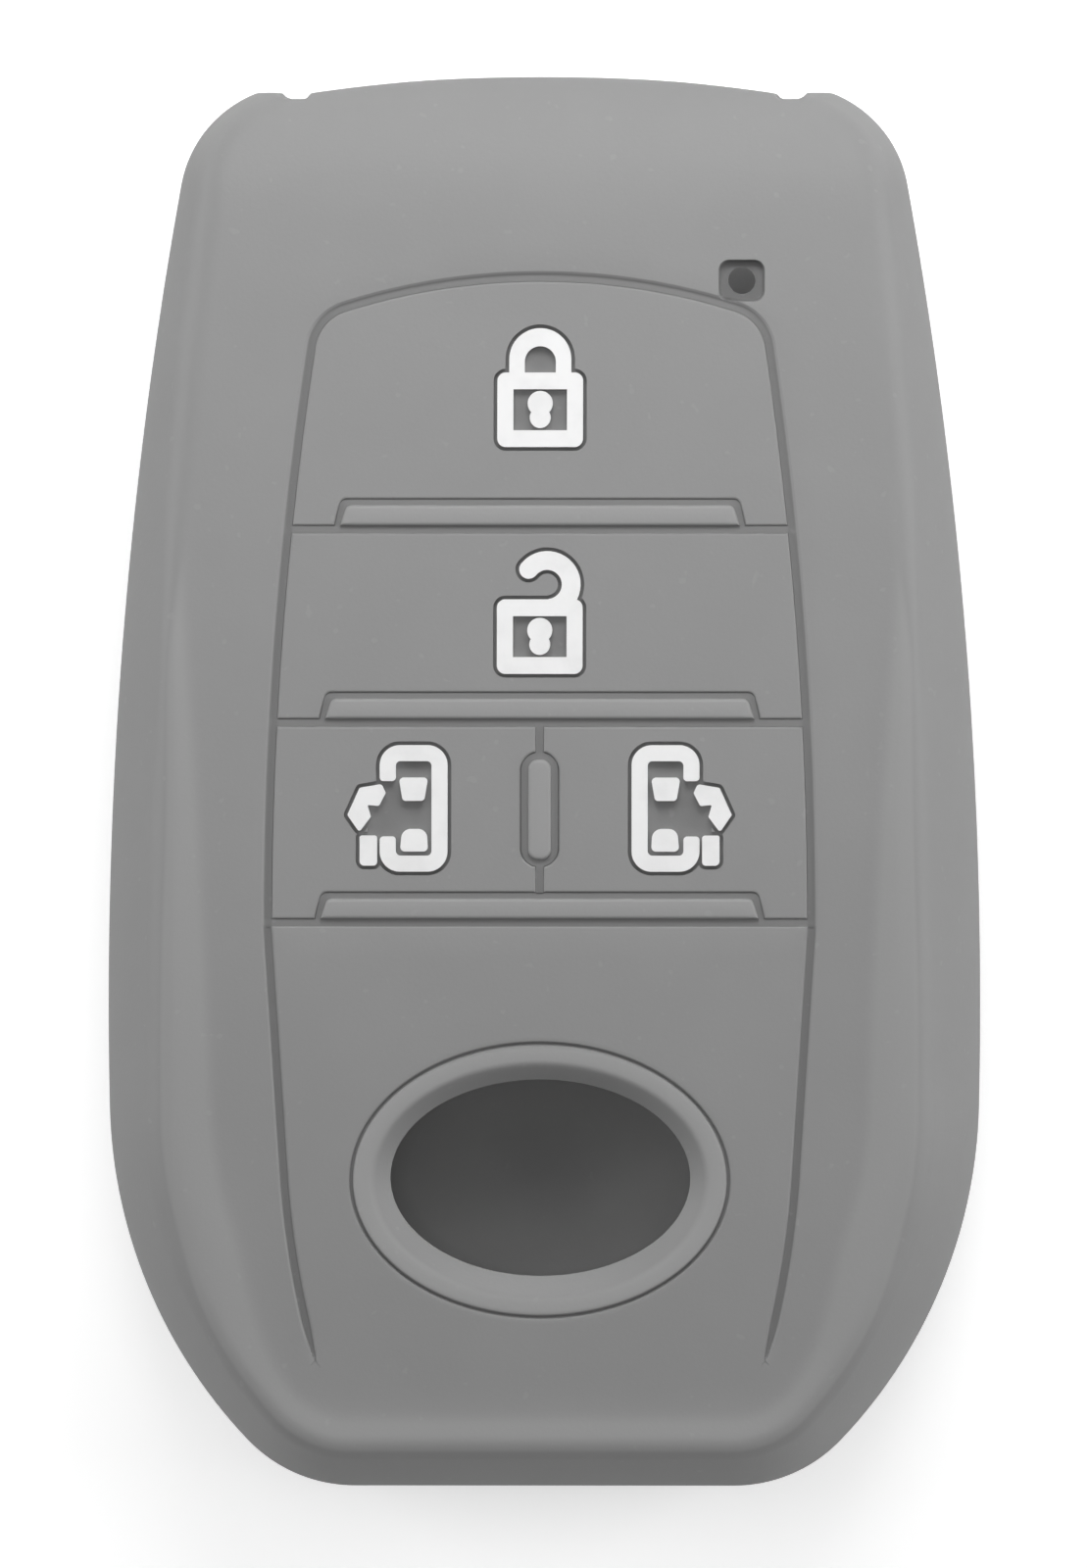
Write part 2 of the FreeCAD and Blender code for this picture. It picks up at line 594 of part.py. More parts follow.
def side_groove():
    """Right-hand groove beside the emblem window, which carries on the panel's side line and ends in a point."""
    lean = math.radians(LOW_GROOVE_LEAN)
    bend_x = PANEL_SIDE_X - (CROSS_Y[2] - LOW_GROOVE_BEND_Y) * math.tan(lean)
    centre = (bend_x - LOW_GROOVE_BEND_R * math.cos(lean), LOW_GROOVE_BEND_Y + LOW_GROOVE_BEND_R * math.sin(lean))
    tip = math.asin((LOW_GROOVE_TIP_Y - centre[1]) / LOW_GROOVE_BEND_R)
    neck = tip + LOW_GROOVE_POINT / LOW_GROOVE_BEND_R
    inner = arc(centre, LOW_GROOVE_BEND_R - LOW_GROOVE / 2, tip, -lean, 0)
    outer = arc(centre, LOW_GROOVE_BEND_R + LOW_GROOVE / 2, neck, -lean, 0)
    straight = Vector(math.tan(lean), 1, 0) * (CROSS_Y[2] - LOW_GROOVE_BEND_Y)
    inner_low, inner_bend = (inner.valueAt(p) for p in (inner.FirstParameter, inner.LastParameter))
    outer_low, outer_bend = (outer.valueAt(p) for p in (outer.FirstParameter, outer.LastParameter))
    corners = [outer_bend, outer_bend + straight, inner_bend + straight, inner_bend]
    lines = [Part.makeLine(a, b) for a, b in zip(corners, corners[1:])]
    return Part.Face(Part.Wire([outer] + lines + [inner, Part.makeLine(inner_low, outer_low)]))


def make_button(pad, flange, pocket, bed_y):
    """A pad with rounded upper edges, its flange, and the pocket for the white inlays."""
    body = layer(pad, WALL, 0)
    body = body.makeFillet(EDGE_R, top_edges(body, 0))
    body = body.fuse(layer(flange, WALL, LIP + LIP_CLEAR))
    body = body.cut(column(pocket).cut(flat_bed(bed_y, INLAY_DEPTH)))
    return body.removeSplitter()


def nearest(faces, x, y):
    return min(faces, key=lambda f: (f.CenterOfMass.x - x) ** 2 + (f.CenterOfMass.y - y) ** 2)


def write(shape, name):
    solid = shape.Solids[0]
    print(name, "solids", len(shape.Solids), "valid", solid.isValid(), "mm3", round(solid.Volume, 2))
    solid.exportStep("parts/" + name + ".step")


os.makedirs("parts", exist_ok=True)
PADS = combine([panel(-SIDE_GROOVE / 2)], crossbars(0))
SPLITS = [block(-WIDTH, y - SIDE_CLEAR, WIDTH, y + SIDE_CLEAR, 0) for y in CROSS_Y[:2]]
SPLITS.append(block(-WIDTH, -LENGTH, WIDTH, CROSS_Y[2] - CROSS_GROOVE / 2 - TUCK, 0))
SPLITS.append(block(-SIDE_CLEAR, -LENGTH, SIDE_CLEAR, CROSS_Y[1], 0))
SPLITS.append(disc(LAMP_X, LAMP_Y, LAMP_HOLE_R + FLANGE_CLEAR))
FLANGES = combine([panel(SIDE_GROOVE / 2 + TUCK)], SPLITS)

write(make_sleeve(), "sleeve")
for button, (figures, pocket_figure, x, y) in pictograms().items():
    middle_y = y + PADLOCK_HEIGHT / 2
    pad_figure = nearest(PADS, x, middle_y)
    flange_figure = nearest(FLANGES, x, middle_y)
    write(make_button(pad_figure, flange_figure, moved(pocket_figure, x, y), middle_y), button + "_button")
    for piece, figure in figures:
        standing = column(moved(figure, x, y))
        write(standing.common(crown(-INLAY_PROUD)).cut(flat_bed(middle_y, INLAY_DEPTH)), button + "_" + piece)
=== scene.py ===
"""Looks of a silicone key fob cover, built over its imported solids.

Shapes are worked out in millimetres as numpy arrays and put into their meshes in metres.
"""

import math

import bpy
import numpy as np
from bpy.props import FloatProperty, FloatVectorProperty, PointerProperty
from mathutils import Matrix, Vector
from mathutils.geometry import delaunay_2d_cdt


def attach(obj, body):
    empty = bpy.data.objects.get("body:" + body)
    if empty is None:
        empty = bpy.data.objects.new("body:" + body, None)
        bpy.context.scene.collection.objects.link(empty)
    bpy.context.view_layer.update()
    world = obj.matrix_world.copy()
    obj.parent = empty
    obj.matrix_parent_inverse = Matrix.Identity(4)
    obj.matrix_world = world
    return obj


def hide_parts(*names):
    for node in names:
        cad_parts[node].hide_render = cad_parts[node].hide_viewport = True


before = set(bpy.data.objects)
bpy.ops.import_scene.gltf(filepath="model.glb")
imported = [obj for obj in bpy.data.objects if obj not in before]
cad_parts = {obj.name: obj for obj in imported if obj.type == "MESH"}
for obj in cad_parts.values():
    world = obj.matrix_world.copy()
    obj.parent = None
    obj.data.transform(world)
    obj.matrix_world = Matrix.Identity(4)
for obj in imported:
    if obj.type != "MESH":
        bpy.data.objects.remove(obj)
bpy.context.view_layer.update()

bl_info = {
    "name": "Key fob cover",
    "version": (1, 0, 0),
    "blender": (4, 5, 0),
    "location": "3D View > Sidebar > Fob cover",
    "description": "Soft silicone key fob cover with press pads and white filled pictograms",
    "category": "Object",
}

MM = 0.001

# Whole cover
LENGTH = 76.0
WIDTH = 47.0
FACE_HEIGHT = 17.6
BACK_WALL = 1.5
FOOT_END = -LENGTH / 2
MOUTH_END = LENGTH / 2

# Outline, bulge, crown and slope
MOUTH_END_R = 120.0
MOUTH_CORNER_R = 6.5
SIDE_R = 250.0
WIDEST_Y = FOOT_END + 26.0
HIP_R = 27.0
HIP_Y = FOOT_END + 20.5
FOOT_CORNER_R = 8.0
BULGE_R = 20.0
PARTING_Z = FACE_HEIGHT - 10.1
FLOOR_GAP = 0.05  # keeps the floor clear of the flat back
CROWN_R = 260.0
CROWN_Y = -6.0
SLOPE_R = 14.0
SLOPE_Y = MOUTH_END - 7.4

# Ridge inside the shoulder
RIDGE_SPREAD = 1.1
RIDGE_INSET = 4.2
RIDGE_CLIMB_Y = FOOT_END + 19.0
RIDGE_TOP_INSET = 0.85
RIDGE_TOP_Y = FOOT_END + 53.0
RIDGE_END_Y = FOOT_END + 54.5
RIDGE_FADE = 5.0
RIDGE_FOOT_INSET = 2.3
RIDGE_FOOT_Y = FOOT_END + 4.5
RIDGE_HIP_Y = FOOT_END + 14.5
RIDGE_SHARP_Y = FOOT_END + 46.0
RIDGE_SHARP_RUN = 7.0
RIDGE_SHARPNESS = 1.6

# Mouth
MOUTH_HALF_WIDTH = 13.6
MOUTH_SILL = 1.1
MOUTH_LIP = 1.0
MOUTH_R = 3.4
LIP_R = 85.0
BUMP_Y = MOUTH_END - 0.9
BUMP_RUN = 1.2
NOTCH_X = 13.4
NOTCH_Y = BUMP_Y - 0.34
NOTCH_FLAT = 0.55
NOTCH_RISE = 0.4
POCKET_EDGE_R = 1.2

# Button panel, crossbars and ribs
PANEL_TOP_Y = 27.2
PANEL_TOP_R = 35.0
PANEL_CORNER_R = 2.6
PANEL_SIDE_X = 14.62
PANEL_SIDE_R = 210.0
SIDE_GROOVE = 0.5
CROSS_GROOVE = 0.42
CROSS_Y = (13.65, 3.28, -7.45)
PANEL_FOOT_Y = CROSS_Y[2] - CROSS_GROOVE / 2
RIB_HALF = (10.73, 11.52, 11.76)
RIB_WIDTH = 1.1
RIB_CORNER_R = 0.4
RIB_TAPER = 0.35
RIB_MARGIN = 0.32
RIB_EDGE_R = 0.2
CAPSULE_WIDTH = 1.25
CAPSULE_LENGTH = 5.4
CAPSULE_MARGIN = 0.4
CAPSULE_Y = (CROSS_Y[1] + CROSS_Y[2] + RIB_WIDTH + RIB_MARGIN) / 2
SLIDE_GAP = 0.012
BAR_HALF = CROSS_GROOVE / 2 - SLIDE_GAP
WEB_SLOPE = 0.5
WEB_EDGE = 0.006
LIP = 0.85
REBATE = 0.35

# Side grooves below the panel
LOW_GROOVE = 0.45
LOW_GROOVE_LEAN = math.radians(3.7)
LOW_GROOVE_BEND_R = 50.0
LOW_GROOVE_BEND_Y = FOOT_END + 17.0
LOW_GROOVE_POINT = 2.0
LOW_GROOVE_TIP_Y = FOOT_END + 7.0
LOW_GROOVE_FLAT = 0.4  # flat share of its width

# Emblem window and lamp hole
WINDOW_Y = -21.3
WINDOW_RX = 8.06
WINDOW_RY = 5.29
WINDOW_BEVEL = 0.95
WINDOW_LEAN = 0.12
WINDOW_EDGE = 0.65
WINDOW_BLEND = 0.22
WINDOW_LAND = 1.0
WINDOW_LINE = 0.24
WINDOW_LINE_HALF = 0.17  # with its soft edges
WINDOW_LINE_DEPTH = 0.2
RING_RX = WINDOW_RX + WINDOW_BEVEL + WINDOW_LAND / 2
RING_RY = WINDOW_RY + WINDOW_BEVEL + WINDOW_LAND / 2
WINDOW_OPEN = WINDOW_RY / RING_RY  # edge of the opening, as a share of the ring's middle
LAMP = (10.8, 27.0)
LAMP_HALF = (1.26, 1.14)
LAMP_R = 0.6
LAMP_SINK = 0.5
LAMP_SLOPE = 0.14
LAMP_HOLE_R = 0.72

# Rows, counts and spacing of the meshes
MIRROR = np.array([-1.0, 1.0])
LIP_FINE_X = 11.5  # beyond it the mouth's lip has finer columns, for the notches
STRAIGHT_R = 1e3  # stands for the radius of the straight foot
SHOULDER_START = 3.5  # first guess of how far in the shoulder ends
SHOULDER_TRIES = 10
SLOPE_STEP = 0.02
FACE_LEAD = 0.4  # first row on the face, and the step between the rows along the outline
FACE_REACH = 3.3  # how far in these rows go
FACE_LEAST_R = 2.0  # and the least radius that they have in a corner
TURN_ROWS = 13
FALL_ROWS = 29
UNDER_ROWS = 12
WALL_ROW = 20  # a row of a band that lies on its side wall
ROUND_ROWS = 5
TUNNEL_ROWS = 6
WEB_ROWS = 11
GROOVE_ROWS = 110
SEEK_TRIES = 8
BLOCK_MARGIN = 1.5  # from the mouth to the block of the wall that a net stands in for
BLOCK_ROOM = 0.12
BLOCK_NET_ROOM = 0.15
FACE_NET = (22, 37, 1.2)  # half width, half length and step
CEILING_NET = (20, 35, 2.0)
ROW_ROOM = 0.3  # least distances between the points of the face
NET_ROOM = 0.7
NET_ROW_ROOM = 0.6
GROOVE_ROOM = 0.04
CEILING_ROOM = 0.8
CHUNK = 400
TINY = 1e-6
LOOP_STEP = 0.8
BURIED = 0.05  # how far the ribs reach into their crossbars
BAR_OVERLAP = 0.04  # how far the lowest crossbar reaches under the sleeve's face
CAPSULE_ROUND = 0.9
MERGE_GRID = 1e4  # steps in a millimetre
CREASE = math.radians(38)

# Masks of the painted shade and painted highlight, and the grain and dust of the finish
# Painted shade: a darker colour by depth under the crown in the panel's grooves, full in the lamp's pocket
GROOVE_SHADE = 0.62  # weight of the recess colour in grooves; in the lamp's pocket it is one
MARKED_HALF = 15.2  # area of the face whose grooves are darkened
MARKED_TOP_Y = SLOPE_Y + 0.6
RAISED_RAMP = (0.04, 0.17)  # heights and depths at which a mask starts and is full
SUNK_RAMP = (0.07, 0.13)
THROUGH_RAMP = (1.2, 1.9)
RING_IN_RAMP = (0.92, 0.965)  # shares of the ring's middle
RING_OUT_RAMP = (1.045, 1.075)
RING_CLEAR = 1.04
LAMP_RAMP = (0.6 * LAMP_SINK, 0.9 * LAMP_SINK)
INSIDE_FROM = 0.82  # share of the wall at which the painted light on the inside starts
INSIDE_RUN = 0.1
CLOUD_SHARE = 0.16
# Share of the painted highlight on the raised ribs
RIB_HIGHLIGHT = 0.62
DUST_SHARE = 0.06
DUST_GREY = 0.6

# Stage: each softbox with its place and width in metres, and its depth as a share of the width
SOFTBOXES = (
    ("key", (0.02, 0.175, 0.165), 0.18, 0.6),
    ("right", (0.5, 0.06, 0.16), 0.3, 0.6),
    ("left", (-0.5, 0.12, 0.16), 0.3, 0.6),
    ("foot", (0.0, -0.5, 0.16), 0.3, 0.6),
    ("top", (-0.12, 0.25, 2.6), 1.7, 1.0),
)
FLOOR_HALF = 3.0
FLOOR_POINTS = 13
SENSOR = 36.0
AIM = (-0.05, -0.15, PARTING_Z)  # in millimetres

# What follows from these
END_DROP = CROWN_R - math.sqrt(CROWN_R ** 2 - (MOUTH_END - CROWN_Y) ** 2)
END_DROP += (MOUTH_END - SLOPE_Y) ** 2 / (2 * SLOPE_R)
MOUTH_ROOF_Z = FACE_HEIGHT - END_DROP - MOUTH_LIP
MOUTH_FLOOR_Z = BACK_WALL + MOUTH_SILL
MOUTH = (0.0, (MOUTH_FLOOR_Z + MOUTH_ROOF_Z) / 2)
MOUTH_HALF = (MOUTH_HALF_WIDTH, (MOUTH_ROOF_Z - MOUTH_FLOOR_Z) / 2)
MOUTH_SET = BULGE_R - math.sqrt(BULGE_R ** 2 - (MOUTH_ROOF_Z - PARTING_Z) ** 2)
SIDE_C = (WIDTH / 2 - SIDE_R, WIDEST_Y)
HIP_A = math.asin((HIP_Y - WIDEST_Y) / SIDE_R)
HIP_C = (SIDE_C[0] + (SIDE_R - HIP_R) * math.cos(HIP_A), SIDE_C[1] + (SIDE_R - HIP_R) * math.sin(HIP_A))
FOOT_CY = FOOT_END + FOOT_CORNER_R
FOOT_C = (HIP_C[0] + math.sqrt((HIP_R - FOOT_CORNER_R) ** 2 - (FOOT_CY - HIP_C[1]) ** 2), FOOT_CY)
FOOT_A = math.atan2(FOOT_C[1] - HIP_C[1], FOOT_C[0] - HIP_C[0])
MOUTH_C = (0.0, MOUTH_END + MOUTH_SET - MOUTH_END_R)


def touching_centre(c0, r0, c1, r1):
    """Right-hand point at distance r0 from c0 and r1 from c1: along the line of centres, then across it."""
    dx, dy = c1[0] - c0[0], c1[1] - c0[1]
    apart = math.hypot(dx, dy)
    along = (apart ** 2 + r0 ** 2 - r1 ** 2) / (2 * apart)
    across = math.sqrt(r0 ** 2 - along ** 2)
    return (c0[0] + (along * dx - across * dy) / apart, c0[1] + (along * dy + across * dx) / apart)


CORNER_C = touching_centre(SIDE_C, SIDE_R - MOUTH_CORNER_R, MOUTH_C, MOUTH_END_R - MOUTH_CORNER_R)
CORNER_A = math.atan2(CORNER_C[1] - SIDE_C[1], CORNER_C[0] - SIDE_C[0])
MOUTH_A = math.atan2(CORNER_C[1] - MOUTH_C[1], CORNER_C[0] - MOUTH_C[0])
PANEL_C = (PANEL_SIDE_X - PANEL_SIDE_R, CROSS_Y[2])
PANEL_TOP_C = (0.0, PANEL_TOP_Y - PANEL_TOP_R)
PANEL_CORNER_C = touching_centre(PANEL_C, PANEL_SIDE_R - PANEL_CORNER_R,
                                 PANEL_TOP_C, PANEL_TOP_R - PANEL_CORNER_R)
PANEL_CORNER_A = math.atan2(PANEL_CORNER_C[1] - PANEL_C[1], PANEL_CORNER_C[0] - PANEL_C[0])
PANEL_TOP_A = math.atan2(PANEL_CORNER_C[1] - PANEL_TOP_C[1], PANEL_CORNER_C[0] - PANEL_TOP_C[0])
LOW_GROOVE_BEND_X = PANEL_SIDE_X - (CROSS_Y[2] - LOW_GROOVE_BEND_Y) * math.tan(LOW_GROOVE_LEAN)
LOW_GROOVE_C = (LOW_GROOVE_BEND_X - LOW_GROOVE_BEND_R * math.cos(LOW_GROOVE_LEAN),
                LOW_GROOVE_BEND_Y + LOW_GROOVE_BEND_R * math.sin(LOW_GROOVE_LEAN))
ARCS = (
    (FOOT_C, FOOT_CORNER_R, -math.pi / 2, FOOT_A, 20),
    (HIP_C, HIP_R, FOOT_A, HIP_A, 30),
    (SIDE_C, SIDE_R, HIP_A, CORNER_A, 70),
    (CORNER_C, MOUTH_CORNER_R, CORNER_A, MOUTH_A, 44),
)


class FobSizes(bpy.types.PropertyGroup):
    """Sizes of the soft moulding that are not fixed by the solids."""

    wall: FloatProperty(name="Wall", description="Thickness of the face and the side walls",
                        default=1.6 * MM, min=1.2 * MM, max=2.0 * MM, unit="LENGTH")
    shoulder: FloatProperty(name="Shoulder", description="Rounding between the face and the side walls",
                            default=2.0 * MM, min=0.5 * MM, max=3.0 * MM, unit="LENGTH")
    sharp_shoulder: FloatProperty(name="Sharp shoulder",
                                  description="Rounding at the foot and where the ridge runs out",
                                  default=1.4 * MM, min=0.5 * MM, max=3.0 * MM, unit="LENGTH")
    back_edge: FloatProperty(name="Back edge", description="Rounding between the side walls and the back",
                             default=3.0 * MM, min=0.5 * MM, max=4.0 * MM, unit="LENGTH")
    ridge: FloatProperty(name="Ridge", description="Height of the soft ridge inside the shoulder",
                         default=0.3 * MM, min=0.0, max=0.6 * MM, unit="LENGTH")
    lip_round: FloatProperty(name="Lip rounding", description="Rounding of the edge round the buttons",
                             default=0.1 * MM, min=0.05 * MM, max=0.1 * MM, unit="LENGTH")
    mouth_round: FloatProperty(name="Mouth rounding", description="Rounding of the edge of the mouth",
                               default=0.3 * MM, min=0.1 * MM, max=0.4 * MM, unit="LENGTH")
    groove: FloatProperty(name="Groove depth", description="Depth of the two side grooves beside the window",
                          default=0.18 * MM, min=0.15 * MM, max=0.6 * MM, unit="LENGTH")
    web: FloatProperty(name="Web depth", description="Depth of the groove round the buttons",
                       default=0.17 * MM, min=0.1 * MM, max=0.45 * MM, unit="LENGTH")
    bar: FloatProperty(name="Bar depth", description="Depth of the grooves between the buttons",
                       default=0.12 * MM, min=0.1 * MM, max=0.45 * MM, unit="LENGTH")
    rib_rise: FloatProperty(name="Rib height", description="Height of the ribs and the capsule over the face",
                            default=0.18 * MM, min=0.0, max=0.25 * MM, unit="LENGTH")


class FobColours(bpy.types.PropertyGroup):
    """Colours of the two silicones and of the stage."""

    silicone: FloatVectorProperty(name="Silicone", description="Grey of the moulding",
                                  subtype="COLOR", size=3, min=0, max=1, default=(0.29, 0.29, 0.29))
    # Pale tone: random clouding goes towards it, and it is the painted highlight on the ribs and the window's
    # ring
    pale_tone_and_highlight: FloatVectorProperty(name="PaleToneAndHighlight", description="Paler grey where fingers rub",
                                subtype="COLOR", size=3, min=0, max=1, default=(0.36, 0.36, 0.36))
    # Painted shade deep in the grooves and pockets
    painted_shade: FloatVectorProperty(name="Recess", description="Darker grey deep in the grooves and pockets",
                                subtype="COLOR", size=3, min=0, max=1, default=(0.17, 0.17, 0.17))
    # Painted light and shade inside the pocket: paler away from the window's middle, darker behind it
    painted_inner_light: FloatVectorProperty(name="PaintedInnerLight", description="Paler grey of the powdery inside",
                                subtype="COLOR", size=3, min=0, max=1, default=(0.56, 0.56, 0.56))
    painted_inner_dim: FloatVectorProperty(name="PaintedInnerDim", description="Grey of the inside behind the window's middle",
                               subtype="COLOR", size=3, min=0, max=1, default=(0.26, 0.26, 0.26))
    filling: FloatVectorProperty(name="Filling", description="White of the pictograms",
                                 subtype="COLOR", size=3, min=0, max=1, default=(0.95, 0.95, 0.95))
    floor: FloatVectorProperty(name="Floor", description="Colour of the floor",
                               subtype="COLOR", size=3, min=0, max=1, default=(0.9, 0.9, 0.9))


class FobStage(bpy.types.PropertyGroup):
    """Camera and light."""

    distance: FloatProperty(name="Distance", description="From the camera to the cover",
                            default=2.0, min=0.3, unit="LENGTH")
    tilt_right: FloatProperty(name="Tilt right", description="Lean of the camera towards the right",
                              default=math.radians(1.5), subtype="ANGLE")
    tilt_up: FloatProperty(name="Tilt up", description="Lean of the camera towards the mouth end",
                           default=math.radians(0.9), subtype="ANGLE")
    view_height: FloatProperty(name="View height", description="Height of the picture at the cover",
                               default=84.56 * MM, unit="LENGTH")
    key: FloatProperty(name="Key light", description="Power of the softbox beyond the mouth end",
                       default=0.33, min=0, unit="POWER")
    right: FloatProperty(name="Right light", description="Power of the softbox on the right",
                         default=1.12, min=0, unit="POWER")
    left: FloatProperty(name="Left light", description="Power of the softbox on the left",
                        default=1.0, min=0, unit="POWER")
    foot: FloatProperty(name="Foot light", description="Power of the softbox beyond the foot end",
                        default=0.36, min=0, unit="POWER")
    top: FloatProperty(name="Top light", description="Power of the large softbox overhead",
                       default=15.5, min=0, unit="POWER")
    sky: FloatProperty(name="Sky", description="Strength of the even light from all round",
                       default=0.06, min=0)


def shown(value):
    """A length property in the millimetres that the shapes are worked out in."""
    return value / MM


def crown(y):
    """Height of the crown: a circle of radius CROWN_R along the length."""
    return FACE_HEIGHT - CROWN_R + np.sqrt(CROWN_R ** 2 - (y - CROWN_Y) ** 2)


def ease(t):
    """Smooth step from 0 to 1: three t squared less two t cubed."""
    t = np.clip(t, 0.0, 1.0)
    return t * t * (3 - 2 * t)


def rim_distance(x, y):
    """How far points lie inside the outline: on each arc, its radius less distance to its centre."""
    best = y - FOOT_END
    for (cx, cy), radius, start, end, _ in ARCS + ((MOUTH_C, MOUTH_END_R, MOUTH_A, math.pi / 2, 0),):
        dx, dy = np.abs(x) - cx, y - cy
        angle = np.arctan2(dy, dx)
        faces = (angle >= start) & (angle <= end)
        best = np.where(faces, np.minimum(best, radius - np.hypot(dx, dy)), best)
    return best


def plain_face(x, y):
    """Face without its ridge: the crown, less a parabola from SLOPE_Y to the mouth."""
    return crown(y) - np.clip(y - SLOPE_Y, 0, None) ** 2 / (2 * SLOPE_R) + 0 * x


def ridged_face(x, y, rise):
    """Plain face plus a bell-shaped ridge along the outline, fading out towards the mouth."""
    climb = np.clip((y - RIDGE_CLIMB_Y) / (RIDGE_TOP_Y - RIDGE_CLIMB_Y), 0, None)
    foot = ease((y - RIDGE_HIP_Y) / (RIDGE_FOOT_Y - RIDGE_HIP_Y))
    crest = RIDGE_INSET + (RIDGE_TOP_INSET - RIDGE_INSET) * climb ** 2
    crest = crest + (RIDGE_FOOT_INSET - RIDGE_INSET) * foot
    height = rise * (1 - ease(1 + (y - RIDGE_END_Y) / RIDGE_FADE))
    return plain_face(x, y) + height * np.exp(-0.5 * ((rim_distance(x, y) - crest) / RIDGE_SPREAD) ** 2)


def groove_line(y):
    """Middle of the side groove below the panel: a leaning line, then a circle that touches it."""
    straight = PANEL_SIDE_X - (CROSS_Y[2] - y) * math.tan(LOW_GROOVE_LEAN)
    down = np.minimum(y, LOW_GROOVE_BEND_Y) - LOW_GROOVE_C[1]
    bent = LOW_GROOVE_C[0] + np.sqrt(LOW_GROOVE_BEND_R ** 2 - down ** 2)
    return np.where(y > LOW_GROOVE_BEND_Y, straight, bent)


def groove_half(y, lip):
    """Half width of the side groove with its lips: even, then running to a rounded point at the tip."""
    return (LOW_GROOVE / 2 + lip) * np.sqrt(np.clip((y - LOW_GROOVE_TIP_Y) / LOW_GROOVE_POINT, 0, 1))


def groove_depth(x, y, depth, lip):
    """Depth of the side grooves: flat in the middle, a smooth step up to each lip, shallower at the tip."""
    half = groove_half(y, lip)
    s = np.abs(np.abs(x) - groove_line(y)) / np.maximum(half, TINY)
    reach = np.sqrt(half / (LOW_GROOVE / 2 + lip))
    below = y <= PANEL_FOOT_Y + TINY
    rise = ease((s - LOW_GROOVE_FLAT) / (1 - LOW_GROOVE_FLAT))
    return np.where(below & (half > TINY), depth * reach * (1 - rise), 0.0)


def box_distance(x, y, centre, half, radius):
    """How far points lie outside a rounded rectangle: distance to its corners or sides, less inside."""
    qx, qy = np.abs(x - centre[0]) - half[0] + radius, np.abs(y - centre[1]) - half[1] + radius
    return np.hypot(np.clip(qx, 0, None), np.clip(qy, 0, None)) + np.minimum(np.maximum(qx, qy), 0) - radius


def lamp_depth(x, y):
    """Depth of the lamp's pocket: flat inside a rounded square, with a steep smooth step up to its rim."""
    return LAMP_SINK * (1 - ease(1 + box_distance(x, y, LAMP, LAMP_HALF, LAMP_R) / LAMP_SLOPE))


def arc(centre, radius, angle):
    """Points at the given angles on a circle."""
    return np.array(centre) + radius * np.stack([np.cos(angle), np.sin(angle)], 1)


def rim_columns():
    """Outline as arrays: points, inward normals, local radii and the trim of the mouth's lip and notches.

    The right half is sampled foot to mouth along its line and arcs, and mirrored for the left half. The trim
    cuts back to the lip's circle, which a smooth step joins to a flat bump, with a flat notch between.
    """
    x = np.linspace(0, FOOT_C[0], 16, endpoint=False)
    points = [np.stack([x, np.full_like(x, FOOT_END)], 1)]
    normals = [np.stack([0 * x, 1 + 0 * x], 1)]
    radii = [np.full_like(x, STRAIGHT_R)]
    joint = MOUTH_END_R * math.cos(MOUTH_A)
    lip_x = np.concatenate([np.linspace(joint, LIP_FINE_X, 44, endpoint=False),
                            np.linspace(LIP_FINE_X, 0, 17)])
    for centre, radius, start, end, count in ARCS + ((MOUTH_C, MOUTH_END_R, 0, 0, 0),):
        angle = np.linspace(start, end, count, endpoint=False) if count else np.arccos(lip_x / MOUTH_END_R)
        ray = np.stack([np.cos(angle), np.sin(angle)], 1)
        points.append(np.array(centre) + radius * ray)
        normals.append(-ray)
        radii.append(np.full_like(angle, radius))
    points, normals, radii = np.concatenate(points), np.concatenate(normals), np.concatenate(radii)
    points = np.concatenate([points, (points * MIRROR)[-2:0:-1]])
    normals = np.concatenate([normals, (normals * MIRROR)[-2:0:-1]])
    radii = np.concatenate([radii, radii[-2:0:-1]])

    across = np.abs(points[:, 0])
    lip_y = MOUTH_END - LIP_R + np.sqrt(LIP_R ** 2 - across ** 2)
    end_y = lip_y + (BUMP_Y - lip_y) * ease((across - NOTCH_X) / BUMP_RUN + 0.5)
    end_y += (NOTCH_Y - end_y) * (1 - ease((np.abs(across - NOTCH_X) - NOTCH_FLAT) / NOTCH_RISE))
    trim = np.where(points[:, 1] > RIDGE_TOP_Y, np.clip(points[:, 1] - end_y, 0, None), 0)
    return points, normals, radii, trim


